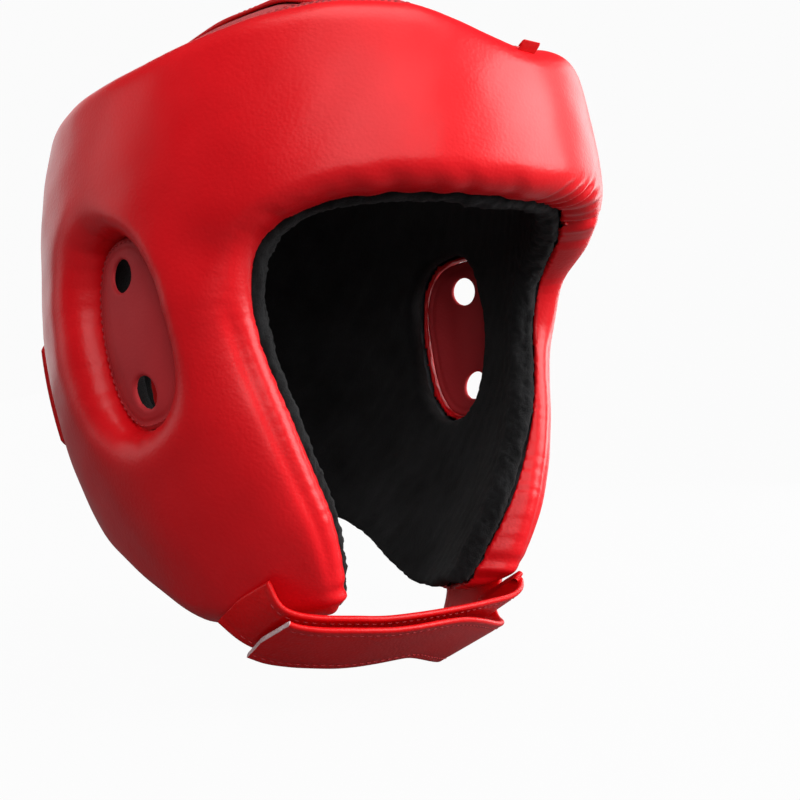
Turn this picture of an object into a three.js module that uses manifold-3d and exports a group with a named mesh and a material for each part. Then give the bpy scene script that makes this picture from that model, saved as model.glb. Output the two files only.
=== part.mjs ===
// Open-face boxing headgear, millimetres, +Z up, the wearer looking along -Y, the wearer's right at -X.
// A point of the padded wall is given by its direction phi (0 at the front, positive to the wearer's left),
// its height above the eye-to-mouth middle level, and its distance from the vertical axis.
import * as THREE from "three";
import { mergeVertices } from "three/addons/utils/BufferGeometryUtils.js";
import Module from "manifold-3d";

const wasm = await Module();
wasm.setup();

// ---- driving sizes ----
const halfWidth = 112; // outside, at the ears
const frontReach = 129; // outside, forehead
const rearReach = 128; // outside, back of the head
const planPower = 2.02; // 2 is an ellipse, more is squarer
const cornerDraw = 0.02; // share by which the plan draws in between the forehead and the ears
const frontWall = 30; // padding, lining to leather, at forehead and sides
const rearWall = 22; // padding at the back of the head
const skin = 1.8; // leather
const lining = 11; // suede-faced comfort padding
const gap = 0.3; // between neighbouring pieces
const layerGap = 0.6; // between the curved layers of the wall
const edgeRadius = 10; // rounding of the top and bottom edges
const browHeight = 58; // lower edge of the forehead pad
const cheekDraw = 5; // how much thinner the padding is beside the face opening
const rearGapAngle = 8; // half of the opening at the back, degrees
const topFront = 116.5; // height of the band's top edge in the middle of the forehead
const topCrest = 127.5; // and at its highest, to each side of the forehead
const topRear = 92; // and at the back
const liningShows = 3; // how far the lining stands past the leather at the face opening

const earHalfWidth = 25;
const earHalfHeight = 37.5;
const earTilt = 14; // degrees, top towards the back
const earHeight = 8;
const earFloorDepth = 14; // how far the ear panel lies below the outside
const earPanelThickness = 4;
const ventRadius = 7;
const ventSpacing = 46;

const crownHeight = 148;
const crownThickness = 5;
const crownSeat = 0.7; // how far the hem's lower corner sits below the band's top
const crownHem = 4; // how far the crown's hem reaches past the middle of the lining
const slotHalfWidth = 12;
const crownStart = 14; // direction of a crown panel's front corner on the band, degrees
const crownFront = 80; // from the middle to the slot's front end
const crownRear = 84; // and to its rear end
const facingWidth = 30;
const facingThickness = 1.8;
const facingMargin = 3; // from the slot's ends to the facing's
const facingTaper = 0.35; // share of its width that a facing loses at its ends
const eyeletRows = 5;
const eyeletInset = 9; // from the slot's edge to an eyelet's centre
const eyeletReach = 62; // from the middle row of eyelets to the last
const eyeletBore = 3.8;
const eyeletBarrel = 4.5;
const eyeletFlange = 6;
const flangeThickness = 0.9;
const eyeletPlay = 0.7; // between an eyelet's flanges and the sheets it holds
const laceRadius = 1.5;
const laceKnot = 3.4; // radius

const loopRadius = 4;
const loopThickness = 1.5;
const loopRise = 3;
const loopLean = 38; // degrees it leans forward on the rounded rim
const loopWidth = 10;
const loopSeat = 0.9; // between the rounded rim and the loop's feet

const strapWidth = 33;
const strapThickness = 2.4;
const patchThickness = 0.8;
const patchMargin = 3; // how far a fastener patch stays inside its strap's edges
const anchorLength = 14; // sewn end of the rear strap
const anchorShare = 0.05; // sewn end of a chin strap, as a share of its route
const foldShare = 0.016; // free stretch of cloth between a chin strap's sewn end and its moving part
const foldGap = 2.2; // the same on the rear strap
const outerEnd = 0.14; // where the outer strap stops, as a share of the inner strap's route
const chinFlat = 44; // straight stretch under the chin
const rearStrapWidth = 46;
const rearStrapHeight = -18;
const rearRootAngle = 150; // wearer's left
const rearEndAngle = 218; // past the middle, wearer's right

const group = new THREE.Group();
const headgear = new THREE.Group();
group.add(headgear);
const radians = THREE.MathUtils.degToRad;

// ---- materials ----
const material = (color, roughness, metalness = 0) =>
  new THREE.MeshStandardMaterial({ color, roughness, metalness });
const redLeather = material(0xd8141c, 0.42);
const redFabric = material(0xb3262d, 0.85);
const blackSuede = material(0x101012, 0.95);
const greyFoam = material(0x55565a, 0.95);
const blackTouchTape = material(0x1b1b1d, 0.9);
const nickel = material(0xb9babd, 0.3, 0.9);
const redCord = material(0xc4222a, 0.75);

// ---- solids ----
function solidOf(geometry) {
  const bare = geometry.clone();
  bare.deleteAttribute("normal");
  bare.deleteAttribute("uv");
  const merged = mergeVertices(bare, 1e-4);
  return new wasm.Manifold(
    new wasm.Mesh({
      numProp: 3,
      vertProperties: new Float32Array(merged.attributes.position.array),
      triVerts: new Uint32Array(merged.index.array),
    }),
  );
}

function geometryOf(solid) {
  const mesh = solid.getMesh();
  const geometry = new THREE.BufferGeometry();
  geometry.setAttribute("position", new THREE.BufferAttribute(mesh.vertProperties, 3));
  geometry.setIndex(new THREE.BufferAttribute(mesh.triVerts, 1));
  geometry.computeVertexNormals();
  return geometry;
}

const cut = (solid, ...tools) => tools.reduce((left, tool) => left.subtract(tool), solid);

function add(name, solid, finish) {
  const mesh = new THREE.Mesh(geometryOf(solid), finish);
  mesh.name = name;
  headgear.add(mesh);
}

// A closed body through rings of points; flat holds the end rings' outline as drawn flat, for their caps.
function loft(rings, flat) {
  const count = rings[0].length;
  const faces = [];
  for (let i = 0; i + 1 < rings.length; i++) {
    for (let j = 0; j < count; j++) {
      const next = (j + 1) % count;
      const a = i * count + j;
      const b = i * count + next;
      faces.push(a, b, b + count, a, b + count, a + count);
    }
  }
  const outlineTurns = Math.sign(THREE.ShapeUtils.area(flat));
  const last = (rings.length - 1) * count;
  for (const [p, q, r] of THREE.ShapeUtils.triangulateShape(flat, [])) {
    const turns = Math.sign(THREE.ShapeUtils.area([flat[p], flat[q], flat[r]]));
    const [s, t] = turns === outlineTurns ? [q, r] : [r, q];
    faces.push(p, t, s, last + p, last + s, last + t);
  }
  const points = rings.flat();
  let volume = 0;
  for (let i = 0; i < faces.length; i += 3) {
    const [a, b, c] = [points[faces[i]], points[faces[i + 1]], points[faces[i + 2]]];
    volume += a.dot(b.clone().cross(c));
  }
  if (volume < 0) faces.reverse();
  const geometry = new THREE.BufferGeometry().setFromPoints(points);
  geometry.setIndex(faces);
  return solidOf(geometry);
}

// ---- the head-shaped wall ----
const smooth = (x) => THREE.MathUtils.smoothstep(x, 0, 1);
const fraction = (x, from, to) => THREE.MathUtils.clamp((x - from) / (to - from), 0, 1);

function place(radius, phi, height) {
  const angle = radians(phi);
  return new THREE.Vector3(radius * Math.sin(angle), -radius * Math.cos(angle), height);
}

// Outside radius: a squared ellipse that draws in above the brow and, more, towards the jaw.
function outside(phi, height) {
  const angle = radians(phi);
  const [reach, draw] = Math.cos(angle) > 0 ? [frontReach, cornerDraw] : [rearReach, 0];
  const across = Math.abs(Math.sin(angle) / halfWidth) ** planPower;
  const along = Math.abs(Math.cos(angle) / reach) ** planPower;
  const plan = (across + along) ** (-1 / planPower) * (1 - draw * Math.sin(2 * angle) ** 2);
  const above = 1 - 0.11 * (Math.max(height - 42, 0) / 76) ** 2;
  const jawDraw = 0.32 + 0.065 * smooth(fraction(Math.abs(phi), 60, 110));
  const below = 1 - jawDraw * (Math.max(24 - height, 0) / 134) ** 2;
  return plan * above * below;
}

// The leather draws in before the wearer's cheeks, where the padding thins towards the face opening.
function leather(phi, height) {
  const near = smooth(fraction(84 - Math.abs(phi), 0, 30));
  return outside(phi, height) - cheekDraw * near * Math.exp(-(((height - 2) / 45) ** 2));
}

const wallAt = (phi) => frontWall + (rearWall - frontWall) * smooth(fraction(Math.abs(phi), 100, 160));
const inside = (phi, height) => outside(phi, height) - wallAt(phi);
const liningOutside = (phi, height) => inside(phi, height) + lining;

// Upper edge: dips in the middle of the forehead and falls from its crests to the back.
function topEdge(phi) {
  const rise = (topCrest - topFront) * smooth(fraction(Math.abs(phi), 0, 25));
  const fall = (topCrest - topRear) * smooth(fraction(Math.abs(phi), 36, 155));
  return topFront + rise - fall;
}

// Lower edge: level under the cheeks, rising from the jaw to the nape.
function bottomEdge(phi) {
  const a = Math.abs(phi);
  const chinTip = -105 + 6 * (1 - smooth(fraction(a, 38, 68)));
  const rise = 39 * Math.sin((Math.PI / 2) * fraction(a, 80, 180)) ** 1.3;
  return chinTip + rise;
}

// A wall between two radii, over a range of directions, with its outer edges rounded.
function wall({ from, to, inner, outer, low, high, round = 0, steps, rows }) {
  const arc = round > 0 ? 2 : 0;
  const rings = [];
  let flat;
  for (let i = 0; i <= steps; i++) {
    const phi = from + ((to - from) * i) / steps;
    const section = [];
    const outerPoint = (height, inset) => section.push([outer(phi, height) - inset, height]);
    const [bottom, top] = [low(phi), high(phi)];
    for (let j = 0; j < arc; j++) {
      const a = (Math.PI / 2) * (1 - j / arc);
      outerPoint(bottom + round * (1 - Math.sin(a)), round * (1 - Math.cos(a)));
    }
    for (let j = 0; j <= rows; j++) outerPoint(bottom + round + ((top - bottom - 2 * round) * j) / rows, 0);
    for (let j = 1; j <= arc; j++) {
      const a = (Math.PI / 2) * (j / arc);
      outerPoint(top - round * (1 - Math.sin(a)), round * (1 - Math.cos(a)));
    }
    for (let j = rows; j >= 0; j--) {
      const height = bottom + ((top - bottom) * j) / rows;
      section.push([inner(phi, height), height]);
    }
    rings.push(section.map(([radius, height]) => place(radius, phi, height)));
    flat ??= section.map(([radius, height]) => new THREE.Vector2(radius, height));
  }
  return loft(rings, flat);
}

// ---- openings ----
const unrollRadius = 100; // scale between degrees and millimetres along the wall
const core = 12; // radius at which the cutting tools start
const beyond = 500; // radius and height at which they are clear of the part

// A hole through the wall with lips that roll outwards, from an outline of [phi, height, lip] points.
// grow moves the whole surface into the wall.
function holeTool(outline, grow, lipDepth) {
  const lipSteps = 2;
  const perDegree = radians(1) * unrollRadius;
  const normals = outline.map((point, i) => {
    const before = outline.at(i - 1);
    const after = outline[(i + 1) % outline.length];
    const along = new THREE.Vector2((after[0] - before[0]) * perDegree, after[1] - before[1]).normalize();
    return [along.y, -along.x];
  });
  const ring = (radiusAt, shareOfLip, growShare) =>
    outline.map(([phi, height, lip], i) => {
      const move = lip * shareOfLip + grow * growShare;
      const p = phi + (normals[i][0] * move) / perDegree;
      const h = height + normals[i][1] * move;
      return place(radiusAt(p, h), p, h);
    });
  const rings = [ring(() => core, 0, 1)];
  for (let j = 0; j <= lipSteps; j++) {
    const b = (Math.PI / 2) * (j / lipSteps);
    const depth = lipDepth * (1 - Math.sin(b)) + grow * Math.sin(b);
    rings.push(ring((p, h) => leather(p, h) - depth, 1 - Math.cos(b), Math.cos(b)));
  }
  rings.push(ring(() => beyond, 1, 0));
  return loft(
    rings,
    outline.map(([phi, height]) => new THREE.Vector2(phi, height)),
  );
}

// Face opening: brow, temple corner and cheek edge of one side, then its mirror image.
function faceOutline() {
  const half = [
    [0, browHeight, 9],
    [16, browHeight + 1, 9],
    [32, browHeight, 10],
    [45, browHeight - 5, 9],
    [54, browHeight - 15, 10],
    [57, 26, 18],
    [55, 5, 38],
    [50, -18, 36],
    [44, -42, 28],
    [39, -62, 20],
    [36, -82, 14],
    [35, -100, 10],
    [34, -125, 8],
  ];
  const points = half.map((p) => new THREE.Vector3(...p));
  const curve = new THREE.CatmullRomCurve3(points, false, "centripetal");
  const left = curve.getPoints(17).map((p) => [p.x, p.y, p.z]);
  const right = left
    .slice(1)
    .reverse()
    .map(([phi, height, lip]) => [-phi, height, lip]);
  return [...left, ...right].reverse();
}

// Ear opening: a tilted rounded rectangle, drawn round its middle.
function earOutline(side, inset) {
  const points = [];
  const count = 20;
  const perDegree = radians(1) * unrollRadius;
  for (let i = 0; i < count; i++) {
    const angle = (2 * Math.PI * i) / count;
    const squared = (v) => Math.sign(v) * Math.abs(v) ** 0.8;
    const along = (earHalfWidth - inset) * squared(Math.cos(angle));
    const up = (earHalfHeight - inset) * squared(Math.sin(angle));
    const tilt = radians(earTilt);
    const back = along * Math.cos(tilt) + up * Math.sin(tilt);
    const height = earHeight + up * Math.cos(tilt) - along * Math.sin(tilt);
    points.push([side * (90 + back / perDegree), height, 9]);
  }
  return side > 0 ? points : points.reverse();
}

const faceTool = (grow) => holeTool(faceOutline(), grow, 15);
const earTool = (side, grow) => holeTool(earOutline(side, 0), grow, 10);
const openings = (grow) => [faceTool(grow), earTool(1, grow), earTool(-1, grow)];

// ---- cover, foam and lining ----
const rearEnd = 180 - rearGapAngle;
const wallSteps = 42;
const wallRows = 4;

// Degrees that a distance in millimetres takes up at the back edges.
const rearDegrees = (distance) => distance / (radians(1) * rearReach);

function padWall(inset, inner, outerInset, from, to, steps) {
  return wall({
    from,
    to,
    inner,
    outer: (phi, height) => leather(phi, height) - outerInset,
    low: (phi) => bottomEdge(phi) + inset,
    high: (phi) => topEdge(phi) - inset,
    round: edgeRadius - inset,
    steps,
    rows: wallRows,
  });
}

function makeCover() {
  const innerFace = (phi, height) => liningOutside(phi, height) + layerGap;
  const whole = padWall(0, innerFace, 0, -rearEnd, rearEnd, wallSteps);
  const end = rearEnd - rearDegrees(skin);
  const room = padWall(skin, (phi, height) => innerFace(phi, height) - 6, skin, -end, end, wallSteps);
  const hollow = cut(room, ...openings(skin));
  add("outer_cover", cut(whole, ...openings(0), hollow), redLeather);
}

const foamInset = skin + 1.5 * layerGap;
const foamInner = (phi, height) => liningOutside(phi, height) + layerGap;
const foreheadEdge = 64;
const rearFoamEdge = 128;
const cheekEdge = 24; // a direction well inside the face opening
const splitHeight = browHeight + 12;

function foam(from, to, steps) {
  return padWall(foamInset, foamInner, foamInset, from, to, steps);
}

function block(from, to, low, high) {
  const radius = (value) => () => value;
  return wall({
    from,
    to,
    inner: radius(core),
    outer: radius(beyond),
    low: () => low,
    high: () => high,
    steps: Math.ceil((to - from) / 10),
    rows: 1,
  });
}

function makeFoam() {
  const belowForehead = block(-foreheadEdge - 4, foreheadEdge + 4, -beyond, splitHeight);
  const forehead = cut(foam(-foreheadEdge, foreheadEdge, 22), belowForehead, faceTool(foamInset));
  add("foam_forehead", forehead, greyFoam);
  const split = rearDegrees(gap);
  const end = rearEnd - rearDegrees(foamInset);
  for (const [name, sign] of sides) {
    const ordered = (a, b) => (sign > 0 ? [a, b] : [-b, -a]);
    const foreheadZone = block(-foreheadEdge - split, foreheadEdge + split, splitHeight - gap, beyond);
    const side = foam(...ordered(cheekEdge, rearFoamEdge), 18);
    const tools = [foreheadZone, faceTool(foamInset), earTool(sign, foamInset)];
    add("foam_side_" + name, cut(side, ...tools), greyFoam);
    add("foam_rear_" + name, foam(...ordered(rearFoamEdge + split, end), 8), greyFoam);
  }
}

function makeLining() {
  const inset = 1;
  const layer = wall({
    from: -rearEnd,
    to: rearEnd,
    inner: inside,
    outer: liningOutside,
    low: (phi) => bottomEdge(phi) + inset,
    high: (phi) => topEdge(phi) - inset,
    round: 4,
    steps: wallSteps,
    rows: wallRows,
  });
  add("inner_lining", cut(layer, faceTool(-liningShows), earTool(1, 0), earTool(-1, 0)), blackSuede);
}

// A round tool through the wall at one direction and height.
function radialBore(phi, height, radius, from, to) {
  const rod = new THREE.CylinderGeometry(radius, radius, to - from, 20);
  rod.rotateX(Math.PI / 2);
  rod.translate(0, -(from + to) / 2, 0);
  rod.rotateZ(radians(phi));
  rod.translate(0, 0, height);
  return solidOf(rod);
}

function makeEarCover(name, side) {
  const outline = earOutline(side, layerGap);
  const level = (depth) => outline.map(([phi, h]) => place(outside(side * 90, h) - depth, phi, h));
  const plate = loft(
    [level(earFloorDepth + earPanelThickness), level(earFloorDepth)],
    outline.map(([phi, height]) => new THREE.Vector2(phi, height)),
  );
  const tilt = radians(earTilt);
  const vents = [-1, 1].map((end) => {
    const reach = (end * ventSpacing) / 2;
    const phi = side * (90 + THREE.MathUtils.radToDeg((reach * Math.sin(tilt)) / unrollRadius));
    return radialBore(phi, earHeight + reach * Math.cos(tilt), ventRadius, 40, 160);
  });
  add("ear_cover_" + name, cut(plate, ...vents), redLeather);
}

// ---- crown ----
// Height of the crown's underside: a dome over the band's top.
function domeHeight(x, y) {
  const phi = THREE.MathUtils.radToDeg(Math.atan2(x, -y));
  const foot = topEdge(phi) - crownSeat;
  const share = Math.hypot(x, y) / domeFoot(phi);
  return crownHeight - crownThickness - (crownHeight - crownThickness - foot) * share ** 1.8;
}

function domeFoot(phi) {
  return liningOutside(phi, topEdge(phi)) - lining / 2 + crownHem;
}

// A point at a distance above the crown's underside, square to it.
function crownPoint(x, y, above) {
  const step = 0.5;
  const slopeX = (domeHeight(x + step, y) - domeHeight(x - step, y)) / (2 * step);
  const slopeY = (domeHeight(x, y + step) - domeHeight(x, y - step)) / (2 * step);
  const normal = new THREE.Vector3(-slopeX, -slopeY, 1).normalize();
  const point = new THREE.Vector3(x, y, domeHeight(x, y));
  return { point: point.addScaledVector(normal, above), normal };
}


// The plan of one crown half: along runs front to back, across from the slot to the band.
function crownPlan(side, along, across) {
  const phi = crownStart + (180 - 2 * crownStart) * along;
  const foot = place(domeFoot(phi), side * phi, 0);
  const slotY = -Math.cos(Math.PI * along) * (along < 0.5 ? crownFront : crownRear);
  return [
    THREE.MathUtils.lerp(side * slotHalfWidth, foot.x, across),
    THREE.MathUtils.lerp(slotY, foot.y, across),
  ];
}

// A sheet of one thickness over part of a crown half, from plan points given by its own rule.
function crownSheet(plan, low, high, alongSteps, acrossSteps) {
  const rings = [];
  for (let i = 0; i <= alongSteps; i++) {
    const ring = [];
    for (let j = 0; j <= acrossSteps; j++) {
      ring.push(crownPoint(...plan(i / alongSteps, j / acrossSteps), high).point);
    }
    for (let j = acrossSteps; j >= 0; j--) {
      ring.push(crownPoint(...plan(i / alongSteps, j / acrossSteps), low).point);
    }
    rings.push(ring);
  }
  const flat = [];
  for (let j = 0; j <= acrossSteps; j++) flat.push(new THREE.Vector2(j, 1));
  for (let j = acrossSteps; j >= 0; j--) flat.push(new THREE.Vector2(j, 0));
  return loft(rings, flat);
}

const facingLow = crownThickness + layerGap + gap;
const facingHigh = facingLow + facingThickness;
const eyeletX = slotHalfWidth + eyeletInset;
const eyeletY = (row) => eyeletReach * ((2 * row) / (eyeletRows - 1) - 1);

// Turns a shape made along +Z so that it stands on the crown at an eyelet.
function standOnCrown(geometry, side, row) {
  const { point, normal } = crownPoint(side * eyeletX, eyeletY(row), 0);
  const turn = new THREE.Quaternion().setFromUnitVectors(new THREE.Vector3(0, 0, 1), normal);
  geometry.applyQuaternion(turn);
  geometry.translate(point.x, point.y, point.z);
  return solidOf(geometry);
}

function eyeletHole(side, row) {
  const rod = new THREE.CylinderGeometry(eyeletBarrel + gap, eyeletBarrel + layerGap, 24, 10);
  rod.rotateX(Math.PI / 2);
  return standOnCrown(rod, side, row);
}

function makeEyelet(name, side, row) {
  const top = facingHigh + eyeletPlay;
  const foot = -eyeletPlay - flangeThickness;
  const profile = [
    [eyeletBore, foot],
    [eyeletFlange, foot],
    [eyeletFlange, foot + flangeThickness],
    [eyeletBarrel, foot + flangeThickness],
    [eyeletBarrel, top],
    [eyeletFlange, top],
    [eyeletBore, top + flangeThickness],
    [eyeletBore, foot],
  ].map((p) => new THREE.Vector2(...p));
  const ring = new THREE.LatheGeometry(profile, 10);
  ring.rotateX(Math.PI / 2);
  add(name, standOnCrown(ring, side, row), nickel);
}

function makeCrownHalf(name, side) {
  const rows = [...Array(eyeletRows).keys()];
  const holes = rows.map((row) => eyeletHole(side, row));
  const panelPlan = (along, across) => crownPlan(side, along, across ** 1.5);
  const panel = crownSheet(panelPlan, 0, crownThickness, 16, 5);
  add("crown_panel_" + name, cut(panel, ...holes), redFabric);
  const facingPlan = (along, across) => {
    const y = THREE.MathUtils.lerp(-crownFront + facingMargin, crownRear - facingMargin, along);
    const width = facingWidth * (1 - facingTaper * (2 * along - 1) ** 4);
    return [side * (slotHalfWidth + width * across), y];
  };
  const facing = crownSheet(facingPlan, facingLow, facingHigh, 10, 2);
  add("crown_facing_" + name, cut(facing, ...holes), redLeather);
  for (const row of rows) makeEyelet("crown_eyelet_" + name + "_" + (row + 1), side, row);
}

// The lace zigzags: over the slot on each row, and under the panel from row to row.
function makeLace() {
  const over = facingHigh + eyeletPlay + flangeThickness + laceRadius + 2 * gap;
  const under = -eyeletPlay - flangeThickness - laceRadius - 2 * gap;
  const at = (x, y, above) => crownPoint(x, y, above).point;
  const points = [];
  let side = 1;
  for (let row = 0; row < eyeletRows; row++) {
    const y = eyeletY(row);
    const spacing = eyeletY(1) - eyeletY(0);
    const [start, finish] = [side, -side];
    if (row === 0) points.push(at(start * eyeletX, y - 9, under - 1), at(start * eyeletX, y - 3.5, under));
    points.push(at(start * eyeletX, y, 0), at(start * eyeletX, y, facingHigh));
    points.push(at(start * (eyeletX - 3.5), y, over));
    points.push(at(0, y, over - 1));
    points.push(at(finish * (eyeletX - 3.5), y, over));
    points.push(at(finish * eyeletX, y, facingHigh), at(finish * eyeletX, y, 0));
    const last = row === eyeletRows - 1;
    const onward = last ? 9 : spacing / 2;
    points.push(at(finish * eyeletX, y + 3.5, under), at(finish * eyeletX, y + onward, under - 1));
    if (!last) points.push(at(finish * eyeletX, y + spacing - 3.5, under));
    side = finish;
  }
  const path = new THREE.CatmullRomCurve3(points, false, "centripetal");
  const section = new THREE.Shape().absarc(0, 0, laceRadius, 0, 2 * Math.PI);
  const sweep = { steps: 90, curveSegments: 3, extrudePath: path, bevelEnabled: false };
  const cord = new THREE.ExtrudeGeometry(section, sweep);
  const knots = [points[0], points.at(-1)].map((p) => {
    const ball = new THREE.SphereGeometry(laceKnot, 8, 6);
    ball.translate(p.x, p.y, p.z);
    return solidOf(ball);
  });
  add("crown_lace", knots.reduce((cordSolid, knot) => cordSolid.add(knot), solidOf(cord)), redCord);
}

// A small leather loop that stands on the band's top edge at the forehead, open from side to side.
function makeHangingLoop() {
  const arch = new THREE.Shape();
  arch.moveTo(-loopRadius, 0);
  arch.lineTo(-loopRadius, loopRise);
  arch.absarc(0, loopRise, loopRadius, Math.PI, 0, true);
  arch.lineTo(loopRadius, 0);
  const hole = loopRadius - loopThickness;
  arch.holes.push(new THREE.Path().absarc(0, loopRise, hole, 0, 2 * Math.PI));
  const loop = new THREE.ExtrudeGeometry(arch, { depth: loopWidth, curveSegments: 8, bevelEnabled: false });
  loop.translate(0, 0, -loopWidth / 2);
  loop.rotateX(Math.PI / 2);
  loop.rotateZ(Math.PI / 2);
  const lean = radians(loopLean);
  loop.rotateX(lean);
  const rimY = outside(0, topEdge(0)) - edgeRadius + (edgeRadius + loopSeat) * Math.sin(lean);
  loop.translate(0, -rimY, topEdge(0) - edgeRadius + (edgeRadius + loopSeat) * Math.cos(lean));
  add("hanging_loop", solidOf(loop), redLeather);
}

// ---- straps ----
// A route is a list of points, each with its outward normal; this gives a place on it and its directions.
function along(route, t, offset) {
  const curve = (key) => new THREE.CatmullRomCurve3(route.map((p) => p[key]), false, "centripetal");
  const tangent = curve("point").getTangent(t);
  const normal = curve("normal").getPoint(t);
  normal.addScaledVector(tangent, -normal.dot(tangent)).normalize();
  const point = curve("point").getPoint(t).addScaledVector(normal, offset);
  return { point, normal, across: tangent.clone().cross(normal) };
}

// A flat band along a route, or along a share of it.
function band(route, { width, offset, thickness, from = 0, to = 1, steps = 24 }) {
  const rings = [];
  for (let i = 0; i <= steps; i++) {
    const { point, normal, across } = along(route, from + ((to - from) * i) / steps, offset);
    const corner = (a, n) =>
      point.clone().addScaledVector(across, (a * width) / 2).addScaledVector(normal, (n * thickness) / 2);
    rings.push([corner(-1, -1), corner(1, -1), corner(1, 1), corner(-1, 1)]);
  }
  const flat = [[0, 0], [1, 0], [1, 1], [0, 1]].map((p) => new THREE.Vector2(...p));
  return loft(rings, flat);
}

const routePoint = (x, y, z, nx, ny, nz) => ({
  point: new THREE.Vector3(x, y, z),
  normal: new THREE.Vector3(nx, ny, nz).normalize(),
});

// A route point that lies on the wall, a distance outside it, facing out and somewhat down.
function onWall(phi, height, above, down) {
  const point = place(outside(phi, height) + above, phi, height);
  const normal = place(1, phi, -down).normalize();
  return { point, normal };
}

const strapSeat = gap + strapThickness / 2 + 0.5;
const stackStep = strapThickness + 2 * patchThickness + 3 * gap;

// From the wearer's right cheek, under the chin, to the outside of the left cheek.
const innerRoute = [
  onWall(-62, -91, strapSeat - 0.5, 0.5),
  onWall(-55, -102, strapSeat + 3, 1.1),
  routePoint(-42, -61, -108, -0.25, -0.54, -0.82),
  routePoint(-chinFlat / 2, -64, -109, 0, -0.56, -0.83),
  routePoint(chinFlat / 2, -64, -109, 0, -0.56, -0.83),
  routePoint(42, -61, -108, 0.25, -0.54, -0.82),
  onWall(51, -103, strapSeat + 3, 1.1),
  onWall(55, -94, strapSeat - 0.1, 0.6),
];

// From the left jaw, further back, under the first strap's end and then on its outer face to the right cheek.
const outerRoute = [
  onWall(86, -88, strapSeat, 0.45),
  onWall(78, -101, strapSeat + 1.5, 0.9),
  routePoint(62, -28, -122, 0.4, -0.3, -0.87),
  routePoint(42, -49, -123, 0.2, -0.5, -0.85),
  ...[0.5, 0.43, 0.36, 0.29, 0.25, 0.21, 0.17, outerEnd].map((t) => along(innerRoute, t, stackStep)),
];

// A sheet that lies on the wall between two directions and two heights.
function sheetOnWall({ from, to, low, high, above, thickness, steps }) {
  return wall({
    from,
    to,
    inner: (phi, height) => outside(phi, height) + above,
    outer: (phi, height) => outside(phi, height) + above + thickness,
    low: () => low,
    high: () => high,
    steps,
    rows: 3,
  });
}

function makeChinStraps() {
  const strap = { width: strapWidth, thickness: strapThickness, offset: 0 };
  const patch = { width: strapWidth - 2 * patchMargin, thickness: patchThickness, steps: 12 };
  const loopOffset = strapThickness / 2 + gap + patchThickness / 2;
  const hookOffset = loopOffset + patchThickness + gap;
  const sewn = anchorShare;
  const free = anchorShare + foldShare;
  add("chin_anchor_right", band(innerRoute, { ...strap, to: sewn, steps: 3 }), redLeather);
  add("chin_strap_inner", band(innerRoute, { ...strap, from: free }), redLeather);
  const loop = { ...patch, offset: loopOffset, from: outerEnd + 0.02, to: 0.42 };
  add("chin_loop_patch", band(innerRoute, loop), blackTouchTape);
  add("chin_anchor_left", band(outerRoute, { ...strap, to: sewn, steps: 3 }), redLeather);
  add("chin_strap_outer", band(outerRoute, { ...strap, from: free }), redLeather);
  const hook = { ...patch, offset: hookOffset, from: outerEnd + 0.02, to: 0.36 };
  add("chin_hook_patch", band(innerRoute, hook), blackTouchTape);
}

// The rear strap is sewn on the wearer's left and closes over a touch tape on the right.
function makeRearStrap() {
  const half = rearStrapWidth / 2;
  const edges = (inset) => ({ low: rearStrapHeight - half + inset, high: rearStrapHeight + half - inset });
  const loopAbove = 2 * gap;
  const hookAbove = loopAbove + patchThickness + gap;
  const strapAbove = hookAbove + patchThickness + gap;
  const strap = {
    ...edges(0),
    above: strapAbove,
    thickness: strapThickness,
    from: rearRootAngle + rearDegrees(foldGap),
    to: rearEndAngle,
    steps: 16,
  };
  const anchor = {
    ...edges(0),
    above: loopAbove,
    thickness: strapAbove + strapThickness - loopAbove,
    from: rearRootAngle - rearDegrees(anchorLength),
    to: rearRootAngle,
    steps: 4,
  };
  const tape = {
    ...edges(patchMargin),
    thickness: patchThickness,
    from: 180 + rearGapAngle + rearDegrees(patchMargin),
    to: rearEndAngle - rearDegrees(patchMargin),
    steps: 8,
  };
  add("rear_strap", sheetOnWall(strap), redLeather);
  add("rear_anchor", sheetOnWall(anchor), redLeather);
  add("rear_hook_patch", sheetOnWall({ ...tape, above: hookAbove }), blackTouchTape);
  add("rear_loop_patch", sheetOnWall({ ...tape, above: loopAbove }), blackTouchTape);
}

const sides = [
  ["right", -1],
  ["left", 1],
];
makeCover();
makeFoam();
makeLining();
for (const [name, side] of sides) {
  makeEarCover(name, side);
  makeCrownHalf(name, side);
}
makeLace();
makeHangingLoop();
makeChinStraps();
makeRearStrap();

// The origin is the middle of the underside of the whole part's box.
const box = new THREE.Box3().setFromObject(headgear);
headgear.position.set(-(box.min.x + box.max.x) / 2, -(box.min.y + box.max.y) / 2, -box.min.z);

export default group;
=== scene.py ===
import math

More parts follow.
